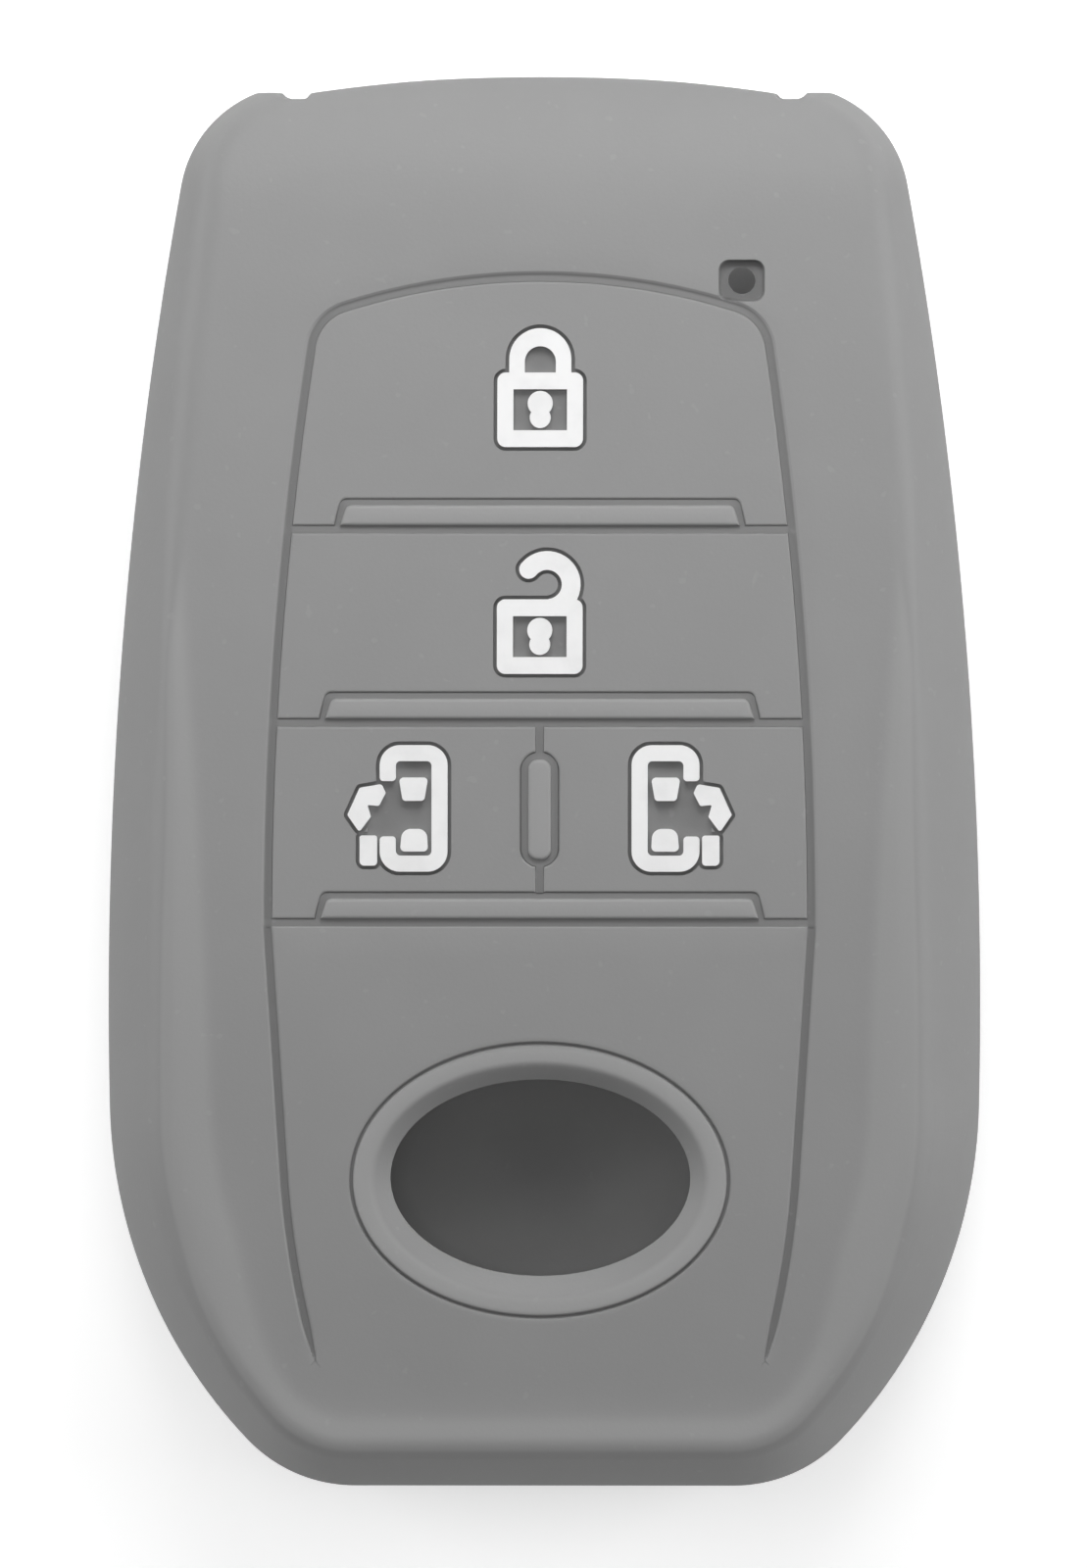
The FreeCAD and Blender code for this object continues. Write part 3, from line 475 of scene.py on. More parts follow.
def wall_band(rim, inset, top, top_r, floor_z, floor_r):
    """Closed band over the shoulder, down the bulged wall and round to the floor, as columns by rows by xyz.

    In each column the wall is a circle of radius BULGE_R. A corner circle touches it and the face's tangent
    line, found by repeating the quadratic for its centre; a second one touches the wall and the floor.
    """
    base, inward, _, trim = rim
    top_r = np.broadcast_to(top_r, len(base))
    middle = inset + BULGE_R
    d = np.full(len(base), inset + SHOULDER_START)
    for _ in range(SHOULDER_TRIES):
        at = base + inward * d[:, None]
        before, after = at - inward * SLOPE_STEP, at + inward * SLOPE_STEP
        slope = (top(*after.T) - top(*before.T)) / (2 * SLOPE_STEP)
        k = np.sqrt(1 + slope ** 2)
        c0 = top(*at.T) - slope * d - top_r * k - PARTING_Z
        b = slope * c0 - middle
        centre = (-b - np.sqrt(b * b - k * k * (middle ** 2 + c0 ** 2 - (BULGE_R - top_r) ** 2))) / (k * k)
        d = centre - top_r * slope / k
    centre_z = slope * centre + c0
    face_a = np.arctan2(1.0, slope)
    wall_a = np.arctan2(centre_z, middle - centre)
    low = middle - math.sqrt((BULGE_R - floor_r) ** 2 - (floor_z + floor_r - PARTING_Z) ** 2)
    low_a = math.atan2(floor_z + floor_r - PARTING_Z, middle - low)

    lead = d[:, None] + np.array([FACE_LEAD, FACE_LEAD / 2])
    at = base[:, None] + inward[:, None] * lead[..., None]
    turn = face_a[:, None] + (wall_a - face_a)[:, None] * np.linspace(0, 1, TURN_ROWS)
    fall = wall_a[:, None] + (low_a - wall_a)[:, None] * np.linspace(0, 1, FALL_ROWS)[1:-1]
    under = low_a + (-math.pi / 2 - low_a) * np.linspace(0, 1, UNDER_ROWS) + 0 * d[:, None]
    depth = [lead, centre[:, None] - top_r[:, None] * np.cos(turn), middle - BULGE_R * np.cos(fall),
             low - floor_r * np.cos(under), np.full((len(d), 1), low + FACE_LEAD)]
    height = [top(at[..., 0], at[..., 1]), PARTING_Z + centre_z[:, None] + top_r[:, None] * np.sin(turn),
              PARTING_Z + BULGE_R * np.sin(fall), floor_z + floor_r + floor_r * np.sin(under),
              np.full((len(d), 1), floor_z)]
    depth = np.maximum(np.concatenate(depth, 1), trim[:, None])
    plan = base[:, None] + inward[:, None] * depth[..., None]
    return np.concatenate([plan, np.concatenate(height, 1)[..., None]], 2)


def band_part(band, i0, i1, j0, j1):
    """Part from a band that closes on itself: its points, and its quads without a block of cells."""
    columns, rows = band.shape[:2]
    index = np.arange(columns * rows).reshape(columns, rows)
    after = np.roll(index, -1, 0)
    quads = np.stack([index[:, :-1], index[:, 1:], after[:, 1:], after[:, :-1]], 2)
    keep = np.ones(quads.shape[:2], bool)
    keep[i0:i1, j0:j1] = False
    return band.reshape(-1, 3), quads[keep]


def strip(rows, closed=True):
    """Quads between loops of equal length, given as rows by points by xyz, first row outermost."""
    rows = np.asarray(rows)
    count = rows.shape[1]
    index = np.arange(rows.shape[0] * count).reshape(rows.shape[0], count)
    after = np.roll(index, -1, 1)
    quads = np.stack([index[:-1], after[:-1], after[1:], index[1:]], 2)
    if not closed:
        quads = quads[:, :-1]
    return rows.reshape(-1, 3), quads.reshape(-1, 4)


def fill(loops, inner=None, plane=(0, 1)):
    """Patch between closed loops: a Delaunay net over their places in the plane.

    A triangle stays where a line from its middle to the right crosses the loops an odd number of times.
    """
    parts = list(loops) + ([inner] if inner is not None else [])
    points = np.concatenate(parts)
    edges, start = [], 0
    for loop in loops:
        ring = np.arange(len(loop))
        edges.append(np.stack([ring, np.roll(ring, -1)], 1) + start)
        start += len(loop)
    edges = np.concatenate(edges)
    flat = points[:, list(plane)]
    net = delaunay_2d_cdt(list(map(Vector, flat.tolist())), edges.tolist(), [], 0, 1e-5)
    crossed = [tuple(round(c, 2) for c in place) for place, ids in zip(net[0], net[3]) if not ids]
    if crossed:
        raise RuntimeError(f"loops of a patch cross one another at {crossed[:6]}")
    source = np.array([ids[0] for ids in net[3]])
    triangles = source[np.array(net[2])]
    middle = flat[triangles].mean(1)
    inside = np.zeros(len(middle), bool)
    for (ax, ay), (bx, by) in zip(flat[edges[:, 0]], flat[edges[:, 1]]):
        if ay != by:
            spans = (middle[:, 1] < ay) != (middle[:, 1] < by)
            inside ^= spans & (middle[:, 0] < ax + (bx - ax) * (middle[:, 1] - ay) / (by - ay))
    return points, triangles[inside]


def turned(part):
    """A part of points and faces with its faces turned round."""
    points, faces = part
    return points, faces[:, ::-1]


def even_net(half_x, half_y, step):
    """Flat points of an even net over a rectangle round the middle."""
    sides = [np.arange(-half, half + 0.1, step) for half in (half_x, half_y)]
    return np.stack(np.meshgrid(*sides), 2).reshape(-1, 2)


def clear_of(points, others, gap):
    """The points whose distance to all the others is more than gap."""
    keep = np.ones(len(points), bool)
    for chunk in np.array_split(others, max(1, len(others) // CHUNK)):
        apart = np.hypot(points[:, None, 0] - chunk[None, :, 0], points[:, None, 1] - chunk[None, :, 1])
        keep &= apart.min(1) > gap
    return points[keep]


def piece_mesh(name, parts):
    """Object from parts of points and faces: shared points are made one, faces smooth and creases sharp."""
    points, faces, start = [], [], 0
    for part_points, part_faces in parts:
        part_faces = np.asarray(part_faces) + start
        if part_faces.shape[1] == 3:
            part_faces = np.concatenate([part_faces, part_faces[:, 2:]], 1)
        points.append(part_points)
        faces.append(part_faces)
        start += len(part_points)
    points, faces = np.concatenate(points), np.concatenate(faces)
    place = np.round(points * MERGE_GRID).astype(np.int64)
    _, first, same = np.unique(place, axis=0, return_index=True, return_inverse=True)
    points, faces = points[first], same.reshape(-1)[faces]
    used, faces = np.unique(faces, return_inverse=True)
    points, faces = points[used], faces.reshape(-1, 4)
    three = (faces[:, 3] == faces[:, 2]) | (faces[:, 3] == faces[:, 0])
    middle = (faces[:, 1] == faces[:, 2]) & ~three
    first_pair = (faces[:, 0] == faces[:, 1]) & ~three & ~middle
    triangles = np.concatenate([faces[three][:, :3], faces[middle][:, [0, 1, 3]], faces[first_pair][:, 1:]])
    a, b, c = triangles.T
    good = (a != b) & (b != c) & (a != c)
    quads = faces[~three & ~middle & ~first_pair]
    mesh = bpy.data.meshes.new(name)
    mesh.from_pydata((points * MM).tolist(), [], quads.tolist() + triangles[good].tolist())
    mesh.validate()
    mesh.polygons.foreach_set("use_smooth", np.ones(len(mesh.polygons), bool))
    mesh.set_sharp_from_angle(angle=CREASE)
    mesh.update()
    obj = bpy.data.objects.new(name, mesh)
    bpy.context.scene.collection.objects.link(obj)
    return obj


def with_height(flat, height):
    """Flat points lifted to their heights."""
    return np.concatenate([flat, np.broadcast_to(height, len(flat))[:, None]], 1)


def on_crown(flat, above):
    """Flat points lifted to a height above the crown."""
    return with_height(flat, crown(flat[:, 1]) + above)


def ellipse(grow):
    """Ellipse of the emblem window, moved out by grow; on the bevel its centre moves towards the buttons."""
    a = np.linspace(0, 2 * math.pi, 180, endpoint=False)
    centre = WINDOW_Y + WINDOW_LEAN * max(1 - grow / WINDOW_BEVEL, 0)
    return np.stack([(WINDOW_RX + grow) * np.cos(a), centre + (WINDOW_RY + grow) * np.sin(a)], 1)


def box_loop(centre, half, radius, grow, corner, side):
    """Rounded rectangle moved out by grow: four quarter circles, with evenly parted sides between them."""
    quarter = np.linspace(0, math.pi / 2, corner)
    hx, hy = half[0] - radius, half[1] - radius
    corners = [arc((sx * hx, sy * hy), radius + grow, quarter + turn * math.pi / 2)
               for turn, (sx, sy) in enumerate(((1, 1), (-1, 1), (-1, -1), (1, -1)))]
    points = []
    for i, here in enumerate(corners):
        ahead = corners[(i + 1) % 4]
        t = np.linspace(0, 1, side[i % 2] + 1)[1:-1, None]
        points += [here, here[-1] * (1 - t) + ahead[0] * t]
    return np.concatenate(points) + np.array(centre)


def mouth_loop(grow):
    """Outline of the mouth in x and z, moved out by grow."""
    return box_loop(MOUTH, MOUTH_HALF, MOUTH_R, grow, 14, (40, 6))


def panel_loop(grow):
    """Outline of the button panel moved out by grow, anticlockwise from the middle of its foot.

    A straight foot, then arcs with fixed centres up the side, round the corner and over the top, and the left
    half mirrored. The side has extra points where the crossbars meet it.
    """
    foot = PANEL_FOOT_Y - max(grow - SIDE_GROOVE / 2, 0)
    side_r = PANEL_SIDE_R + grow
    low = math.asin((foot - PANEL_C[1]) / side_r)
    bars = np.array(CROSS_Y)[:, None] + CROSS_GROOVE * np.array([-0.7, -0.5, -0.35, 0, 0.35, 0.5, 0.7])
    bar_t = (bars.ravel() - PANEL_FOOT_Y) / (PANEL_CORNER_C[1] - PANEL_FOOT_Y)
    side_t = np.unique(np.concatenate([np.linspace(0, 1, 70), bar_t[bar_t > 0]]))
    side = arc(PANEL_C, side_r, low + (PANEL_CORNER_A - low) * side_t[:-1])
    corner = arc(PANEL_CORNER_C, PANEL_CORNER_R + grow, np.linspace(PANEL_CORNER_A, PANEL_TOP_A, 26)[:-1])
    top = arc(PANEL_TOP_C, PANEL_TOP_R + grow, np.linspace(PANEL_TOP_A, math.pi / 2, 90))
    near = PANEL_SIDE_X - SIDE_GROOVE / 2 - 0.2
    foot_x = np.concatenate([np.linspace(0, near, 34, endpoint=False),
                             np.linspace(near, side[0, 0], 14, endpoint=False)])
    right = np.concatenate([np.stack([foot_x, np.full_like(foot_x, foot)], 1), side, corner, top])
    return np.concatenate([right, (right * MIRROR)[-2:0:-1]])


def on_band(band, x, z):
    """Points of a band of columns by rows at the given x and z, by bilinear steps between its own."""
    row = np.full(len(x), band.shape[1] // 2) + 0.0
    here = np.arange(len(x))
    for _ in range(SEEK_TRIES):
        j = np.clip(row.astype(int), 0, band.shape[1] - 2)
        f = row - j
        xs = band[:, j, 0] * (1 - f) + band[:, j + 1, 0] * f
        i = np.clip((xs > x).sum(0) - 1, 0, band.shape[0] - 2)
        g = (xs[i, here] - x) / (xs[i, here] - xs[i + 1, here])
        zs = band[i, :, 2] * (1 - g)[:, None] + band[i + 1, :, 2] * g[:, None]
        j = np.clip((zs > z[:, None]).sum(1) - 1, 0, band.shape[1] - 2)
        row = j + (zs[here, j] - z) / (zs[here, j] - zs[here, j + 1])
    f = (row - j)[:, None]
    g = g[:, None]
    near = band[i, j] * (1 - f) + band[i, j + 1] * f
    far = band[i + 1, j] * (1 - f) + band[i + 1, j + 1] * f
    return near * (1 - g) + far * g


def mouth_wall(band, grow):
    """A band with the mouth cut out: its quads without a block, a net on to the mouth, and the block."""
    near = np.abs(band[:, WALL_ROW, 0]) < MOUTH_HALF_WIDTH + BLOCK_MARGIN
    i0, i1 = np.nonzero(near & (band[:, WALL_ROW, 1] > RIDGE_TOP_Y))[0][[0, -1]]
    block = band[i0:i1 + 1]
    high = block[:, :, 2].min(0) > MOUTH_ROOF_Z + grow + BLOCK_ROOM
    low = block[:, :, 2].max(0) < MOUTH_FLOOR_Z - grow - BLOCK_ROOM
    j0, j1 = np.nonzero(high)[0].max(), np.nonzero(low)[0].min()
    cut = block[:, j0:j1 + 1]
    border = np.concatenate([cut[:, 0], cut[-1, 1:], cut[-2::-1, -1], cut[0, -2:0:-1]])
    inner = cut[1:-1, 1:-1].reshape(-1, 3)
    off = box_distance(inner[:, 0], inner[:, 2], MOUTH, MOUTH_HALF, MOUTH_R)
    edge = on_band(block, *mouth_loop(grow).T)
    net = fill([border, edge], inner[off > grow + BLOCK_NET_ROOM], (0, 2))
    return [band_part(band, i0, i1, j0, j1), turned(net)], block


def mouth_tunnel(outer, inner, rounding):
    """Walls of the mouth: a quarter round from the outer skin, then straight through to the inner one."""
    rows = []
    for t in np.linspace(0, math.pi / 2, TUNNEL_ROWS):
        row = on_band(outer, *mouth_loop(rounding * (1 - math.sin(t))).T)
        row[:, 1] -= rounding * (1 - math.cos(t))
        rows.append(row)
    last = on_band(inner, *mouth_loop(0).T)
    return strip(rows + [rows[-1] * 0.5 + last * 0.5, last])


def sleeve_skin(sizes):
    """Parts of the one-piece moulding: outer and inner skins, walls of its openings, window and lamp."""
    wall, rise = shown(sizes.wall), shown(sizes.ridge)
    lip, depth = shown(sizes.lip_round), shown(sizes.groove)

    def face(x, y):
        """Outer face, with the ridge at its set height."""
        return ridged_face(x, y, rise)

    def sunk_face(x, y, drop=0.0):
        """Outer face less the deepest of the side grooves, the lamp's pocket and a drop."""
        return face(x, y) - np.maximum(np.maximum(groove_depth(x, y, depth, lip), lamp_depth(x, y)), drop)

    def ceiling(x, y):
        """Ceiling of the pocket: the plain face, one wall lower."""
        return plain_face(x, y) - wall

    rim = rim_columns()
    rim_y = rim[0][:, 1]
    sharp = np.maximum(ease((rim_y - RIDGE_HIP_Y) / (RIDGE_FOOT_Y - RIDGE_HIP_Y)),
                       RIDGE_SHARPNESS * np.exp(-((rim_y - RIDGE_SHARP_Y) / RIDGE_SHARP_RUN) ** 2))
    shoulder = shown(sizes.shoulder) + shown(sizes.sharp_shoulder - sizes.shoulder) * sharp
    outer = wall_band(rim, 0.0, face, shoulder, 0.0, shown(sizes.back_edge))
    inner = wall_band(rim, wall, ceiling, POCKET_EDGE_R, BACK_WALL, POCKET_EDGE_R)
    rounding = shown(sizes.mouth_round)
    parts, outer_block = mouth_wall(outer, rounding)
    inner_parts, inner_block = mouth_wall(inner, 0.0)
    parts += [turned(part) for part in inner_parts]
    parts.append(mouth_tunnel(outer_block, inner_block, rounding))

    # Button opening: a lip rounded by a quarter circle, its wall, and the step under it
    opening = []
    for t in np.linspace(0, math.pi / 2, ROUND_ROWS):
        edge = panel_loop(SIDE_GROOVE / 2 + lip * (1 - math.sin(t)))
        opening.append(with_height(edge, sunk_face(*edge.T, lip * (1 - math.cos(t)))))
    under = panel_loop(SIDE_GROOVE / 2 + REBATE)
    opening += [on_crown(edge, -LIP), on_crown(under, -LIP), with_height(under, ceiling(*under.T))]
    parts.append(strip(opening))

    # Emblem window: line, ring and bevel are one family of ellipses, with a hyperbola from flat to steep
    grows = np.array([0, 0.1, 0.25, 0.4, 0.55, 0.7, 0.8, 0.88, 0.95, 1.02, 1.1, 1.2, 1.45, 1.7, 1.86,
                      1.93, 1.99, 2.03, 2.07, 2.11, 2.15, 2.21, 2.28, 2.45, 2.8])
    straight = (wall - WINDOW_EDGE) * (1 - grows / WINDOW_BEVEL)
    sunk = (straight + np.hypot(straight, WINDOW_BLEND)) / 2
    sunk -= sunk[-1]
    line = (grows - WINDOW_BEVEL - WINDOW_LAND - WINDOW_LINE / 2) / WINDOW_LINE_HALF
    sunk = sunk + np.where(np.abs(line) < 1, WINDOW_LINE_DEPTH * np.cos(line * math.pi / 2) ** 2, 0)
    rings = [with_height(e, face(*e.T) - s) for e, s in zip(map(ellipse, grows), sunk)]
    foot = ellipse(0)
    rings.insert(0, with_height(foot, ceiling(*foot.T)))
    parts.append(strip(rings[::-1]))

    # Lamp hole in the floor of its pocket
    hole = arc(LAMP, LAMP_HOLE_R, np.linspace(0, 2 * math.pi, 48, endpoint=False))
    lamp = [with_height(hole, level(*hole.T)) for level in (sunk_face, ceiling)]
    parts.append(strip(lamp))

    # Face between these loops: rows along the outline, rows across the grooves, and an even net
    loops = [outer[:, 0], opening[0], rings[-1], lamp[0]]
    border = np.concatenate(loops)[:, :2]
    base, inward, radii, _ = rim
    first = rim_distance(*outer[:, 0, :2].T)
    rows = [(base + inward * (first + more)[:, None])[radii - first - more > FACE_LEAST_R]
            for more in np.arange(FACE_LEAD, FACE_REACH, FACE_LEAD)]
    ys = np.linspace(PANEL_FOOT_Y - lip - 0.3, LOW_GROOVE_TIP_Y + 0.02, GROOVE_ROWS)
    half = np.array([0.25, 0.45, 0.6, 0.72, 0.85, 1, 1.15, 1.4])
    s = np.concatenate([-half[::-1], [0], half])
    side_x = groove_line(ys)[:, None] + s * groove_half(ys, lip)[:, None]
    side = np.stack([side_x.ravel(), np.repeat(ys, len(s))], 1)
    pocket = np.concatenate([box_loop(LAMP, LAMP_HALF, LAMP_R, LAMP_SLOPE * step, 12, (16, 16))
                             for step in (0.5, 0.15, 0, -0.15, -0.3, -0.45, -0.6, -0.75, -0.9, -1.05, -1.6)])
    grooves = np.concatenate([side, side * MIRROR, pocket])
    taken = np.concatenate([border, grooves])
    rows = clear_of(np.concatenate(rows), taken, ROW_ROOM)
    net = clear_of(clear_of(even_net(*FACE_NET), taken, NET_ROOM), rows, NET_ROW_ROOM)
    flat = np.concatenate([rows, clear_of(grooves, border, GROOVE_ROOM), net])
    parts.append(fill(loops, with_height(flat, sunk_face(*flat.T))))

    # Ceiling of the pocket, back and floor
    loops = [inner[:, 0], opening[-1], rings[0], lamp[-1]]
    net = clear_of(even_net(*CEILING_NET), np.concatenate(loops)[:, :2], CEILING_ROOM)
    parts.append(turned(fill(loops, with_height(net, ceiling(*net.T)))))
    return parts + [turned(fill([outer[:, -1]])), fill([inner[:, -1]])]


def rounded_figure(corners, count=7):
    """Closed loop from corner points (x, y, radius): each corner is a circle that touches both its sides."""
    points = []
    corners = np.array(corners, float)
    for here, back, ahead in zip(corners, np.roll(corners, 1, 0), np.roll(corners, -1, 0)):
        a = (back - here)[:2] / np.hypot(*(back - here)[:2])
        b = (ahead - here)[:2] / np.hypot(*(ahead - here)[:2])
        half = math.acos(np.clip(a @ b, -1, 1)) / 2
        if here[2] == 0:
            points.append(here[None, :2])
            continue
        middle = here[:2] + (a + b) / np.hypot(*(a + b)) * here[2] / math.sin(half)
        start = here[:2] + a * here[2] / math.tan(half) - middle
        turn = (math.pi - 2 * half) * np.sign(a[1] * b[0] - a[0] * b[1])
        t = np.linspace(0, turn, count)
        points.append(middle + np.stack([start[0] * np.cos(t) - start[1] * np.sin(t),
                                         start[0] * np.sin(t) + start[1] * np.cos(t)], 1))
    return np.concatenate(points)


def moved_out(loop, grow):
    """An anticlockwise loop moved out by grow along the mitred normals of its sides."""
    ahead = np.roll(loop, -1, 0) - loop
    normal = np.stack([ahead[:, 1], -ahead[:, 0]], 1) / np.hypot(ahead[:, 0], ahead[:, 1])[:, None]
    both = normal + np.roll(normal, 1, 0)
    both /= np.clip((both * both).sum(1), 1.0, None)[:, None] / 2
    return loop + both * grow


def dense(loop, step):
    """A loop with points put in along its sides, none further apart than step."""
    ahead = np.roll(loop, -1, 0)
    count = np.maximum(1, np.ceil(np.hypot(*(ahead - loop).T) / step).astype(int))
    start = np.repeat(np.arange(len(loop)), count)
    t = (np.arange(count.sum()) - np.repeat(np.cumsum(count) - count, count)) / np.repeat(count, count)
    return loop[start] * (1 - t)[:, None] + ahead[start] * t[:, None]


def plate(loop, top, bottom, rounding):
    """Plate on the crown: a flat figure stood up between two heights, its upper edge a quarter round."""
    rows = []
    for t in np.linspace(0, math.pi / 2, ROUND_ROWS) if rounding else ():
        flat = moved_out(loop, -rounding * (1 - math.sin(t)))
        rows.append(with_height(flat, crown(flat[:, 1]) + top - rounding * (1 - math.cos(t))))
    rows = rows or [on_crown(loop, top)]
    rows.append(on_crown(loop, bottom))
    return [turned(strip(rows)), fill([rows[0]]), turned(fill([rows[-1]]))]


def plates(figures, top, bottom, rounding):
    """Parts of several plates between the same heights, with points put in along their outlines."""
    return [part for loop in figures for part in plate(dense(loop, LOOP_STEP), top, bottom, rounding)]


def rib_corners(y, half, grow):
    """Corners of the long rib over the crossbar at y, moved out by grow."""
    low = y + CROSS_GROOVE / 2 - min(grow, CROSS_GROOVE / 4)
    high = y + CROSS_GROOVE / 2 + RIB_WIDTH + grow
    reach = half + grow
    return [(-reach, low, 0), (reach, low, 0), (reach - RIB_TAPER, high, RIB_CORNER_R),
            (-reach + RIB_TAPER, high, RIB_CORNER_R)]


def capsule_corners():
    """Corners of the capsule on the short divider."""
    half, reach = CAPSULE_WIDTH / 2, CAPSULE_LENGTH / 2
    return [(sx * half, CAPSULE_Y + sy * reach, half * CAPSULE_ROUND)
            for sx, sy in ((-1, -1), (1, -1), (1, 1), (-1, 1))]


def crossbar_parts(depth):
    """Sunk crossbars: hat-shaped plates, and the upright divider, whose middle widens between two arcs."""
    figures = []
    for y, half in zip(CROSS_Y, RIB_HALF):
        panel_x = PANEL_C[0] + math.sqrt(PANEL_SIDE_R ** 2 - (y - PANEL_C[1]) ** 2)
        reach = panel_x - SIDE_GROOVE / 2 + 2 * SLIDE_GAP
        low = y - (BAR_HALF if y > CROSS_Y[2] else CROSS_GROOVE / 2 + BAR_OVERLAP)
        top = y + BAR_HALF
        hat = rib_corners(y, half, RIB_MARGIN - SLIDE_GAP)
        root = np.interp(top, (hat[1][1], hat[2][1]), (hat[1][0], hat[2][0]))
        figures.append(rounded_figure([(-reach, low, 0), (reach, low, 0), (reach, top, 0), (root, top, 0),
                                       hat[2], hat[3], (-root, top, 0), (-reach, top, 0)]))
    room = CAPSULE_MARGIN - 2 * SLIDE_GAP
    half, long = CAPSULE_WIDTH / 2 + room, CAPSULE_LENGTH / 2 + room
    turn = np.linspace(math.asin(BAR_HALF / half) - math.pi / 2, 0, 12)
    lower = np.stack([half * np.cos(turn), CAPSULE_Y - long + half * (1 + np.sin(turn))], 1)
    upper = lower[::-1] * (1, -1) + (0, 2 * CAPSULE_Y)
    right = np.concatenate([[(BAR_HALF, CROSS_Y[2] + BAR_HALF)], lower, upper,
                            [(BAR_HALF, CROSS_Y[1] - BAR_HALF)]])
    figures.append(np.concatenate([right, right[::-1] * MIRROR]))
    return plates(figures, -depth, -LIP, 0)


def groove_web(sizes):
    """Soft web round the pads: a smooth step down from the opening's lip to a flat floor."""
    depth, lip = shown(sizes.web), shown(sizes.lip_round)
    rows = []
    for t in np.linspace(0, 1, WEB_ROWS):
        flat = panel_loop((SIDE_GROOVE / 2 + lip) * (1 - t) - (SIDE_GROOVE / 2 - SLIDE_GAP) * t)
        x, y = flat.T
        sunk = np.maximum(groove_depth(x, y, shown(sizes.groove), lip), lamp_depth(x, y))
        sunk = np.maximum(sunk, WEB_EDGE + (depth - WEB_EDGE) * ease(t / WEB_SLOPE))
        rows.append(with_height(flat, crown(y) - sunk))
    under = [on_crown(row[:, :2], -LIP) for row in (rows[-1], rows[0])]
    return [strip(rows + under + rows[:1])]


def rib_parts(depth, rise):
    """Raised ribs and capsule: plates from inside the crossbars to above the face, with rounded edges."""
    figures = [rounded_figure(rib_corners(y, half, 0), 9) for y, half in zip(CROSS_Y, RIB_HALF)]
    figures.append(rounded_figure(capsule_corners(), 13))
    return plates(figures, rise, -depth - BURIED, RIB_EDGE_R)


class Wires:
    """Short ways to add and join nodes in one node tree."""

    def __init__(self, tree):
        self.tree = tree

    def node(self, kind, **settings):
        """A new node with its settings."""
        made = self.tree.nodes.new(kind)
        for name, value in settings.items():
            setattr(made, name, value)
        return made

    def put(self, node, inputs):
        """Joins or sets inputs of a node, given by name or number."""
        for key, value in inputs.items():
            if isinstance(value, bpy.types.NodeSocket):
                self.tree.links.new(value, node.inputs[key])
            else:
                node.inputs[key].default_value = value

    def math(self, operation, *values):
        """One operation on numbers."""
        made = self.node("ShaderNodeMath", operation=operation)
        self.put(made, dict(enumerate(values)))
        return made.outputs[0]

    def product(self, first, *others):
        """All the values multiplied."""
        for value in others:
            first = self.math("MULTIPLY", first, value)
        return first

    def ramp(self, value, low, high):
        """Smooth step from 0 at low to 1 at high."""
        made = self.node("ShaderNodeMapRange", interpolation_type="SMOOTHSTEP")
        self.put(made, {"Value": value, "From Min": low, "From Max": high})
        return made.outputs["Result"]

    def depth_ramp(self, value, limits):
        """Smooth step between two limits in millimetres."""
        return self.ramp(value, limits[0] * MM, limits[1] * MM)

    def noise(self, place, scale, detail, rough=0.5):
        """Cloudy noise, from 0 to 1."""
        made = self.node("ShaderNodeTexNoise")
        self.put(made, {"Vector": place, "Scale": scale, "Detail": detail, "Roughness": rough})
        return made.outputs["Fac"]

    def mix(self, amount, a, b):
        """Colour between a and b."""
        made = self.node("ShaderNodeMix", data_type="RGBA")
        self.put(made, {"Factor": amount})
        first, second = (i for i, s in enumerate(made.inputs) if s.type == "RGBA")
        self.put(made, {first: a, second: b})
        return next(s for s in made.outputs if s.type == "RGBA")


def new_group(name, outputs, **inputs):
    """A new shader node group with its sockets: the group, its wires, and its input and output nodes."""
    tree = bpy.data.node_groups.new(name, "ShaderNodeTree")
    for label, value in inputs.items():
        made = tree.interface.new_socket(name=label, in_out="INPUT", socket_type="NodeSocketFloat")
        made.default_value = value
    for label in outputs:
        tree.interface.new_socket(name=label, in_out="OUTPUT", socket_type="NodeSocketFloat")
    w = Wires(tree)
    return tree, w, w.node("NodeGroupInput").outputs, w.node("NodeGroupOutput")


def moulded_grain():
    """Shared grain of moulded silicone: fine pebble for the bump, broad clouding, dust specks."""
    if "moulded_grain" in bpy.data.node_groups:
        return bpy.data.node_groups["moulded_grain"]
    tree, w, given, out = new_group("moulded_grain", ("Height", "Clouding", "Dust"),
                                    Pebble=4200.0, Cloud=140.0)
    place = w.node("ShaderNodeTexCoord").outputs["Object"]
    fine = w.noise(place, given["Pebble"], 2.0)
    coarse = w.noise(place, w.product(given["Pebble"], 0.22), 3.0)
    w.put(out, {"Height": w.math("MULTIPLY_ADD", coarse, 0.6, fine),
                "Clouding": w.noise(place, given["Cloud"], 4.0, 0.55),
                "Dust": w.ramp(w.noise(place, 1500.0, 1.0), 0.71, 0.78)})
    return tree


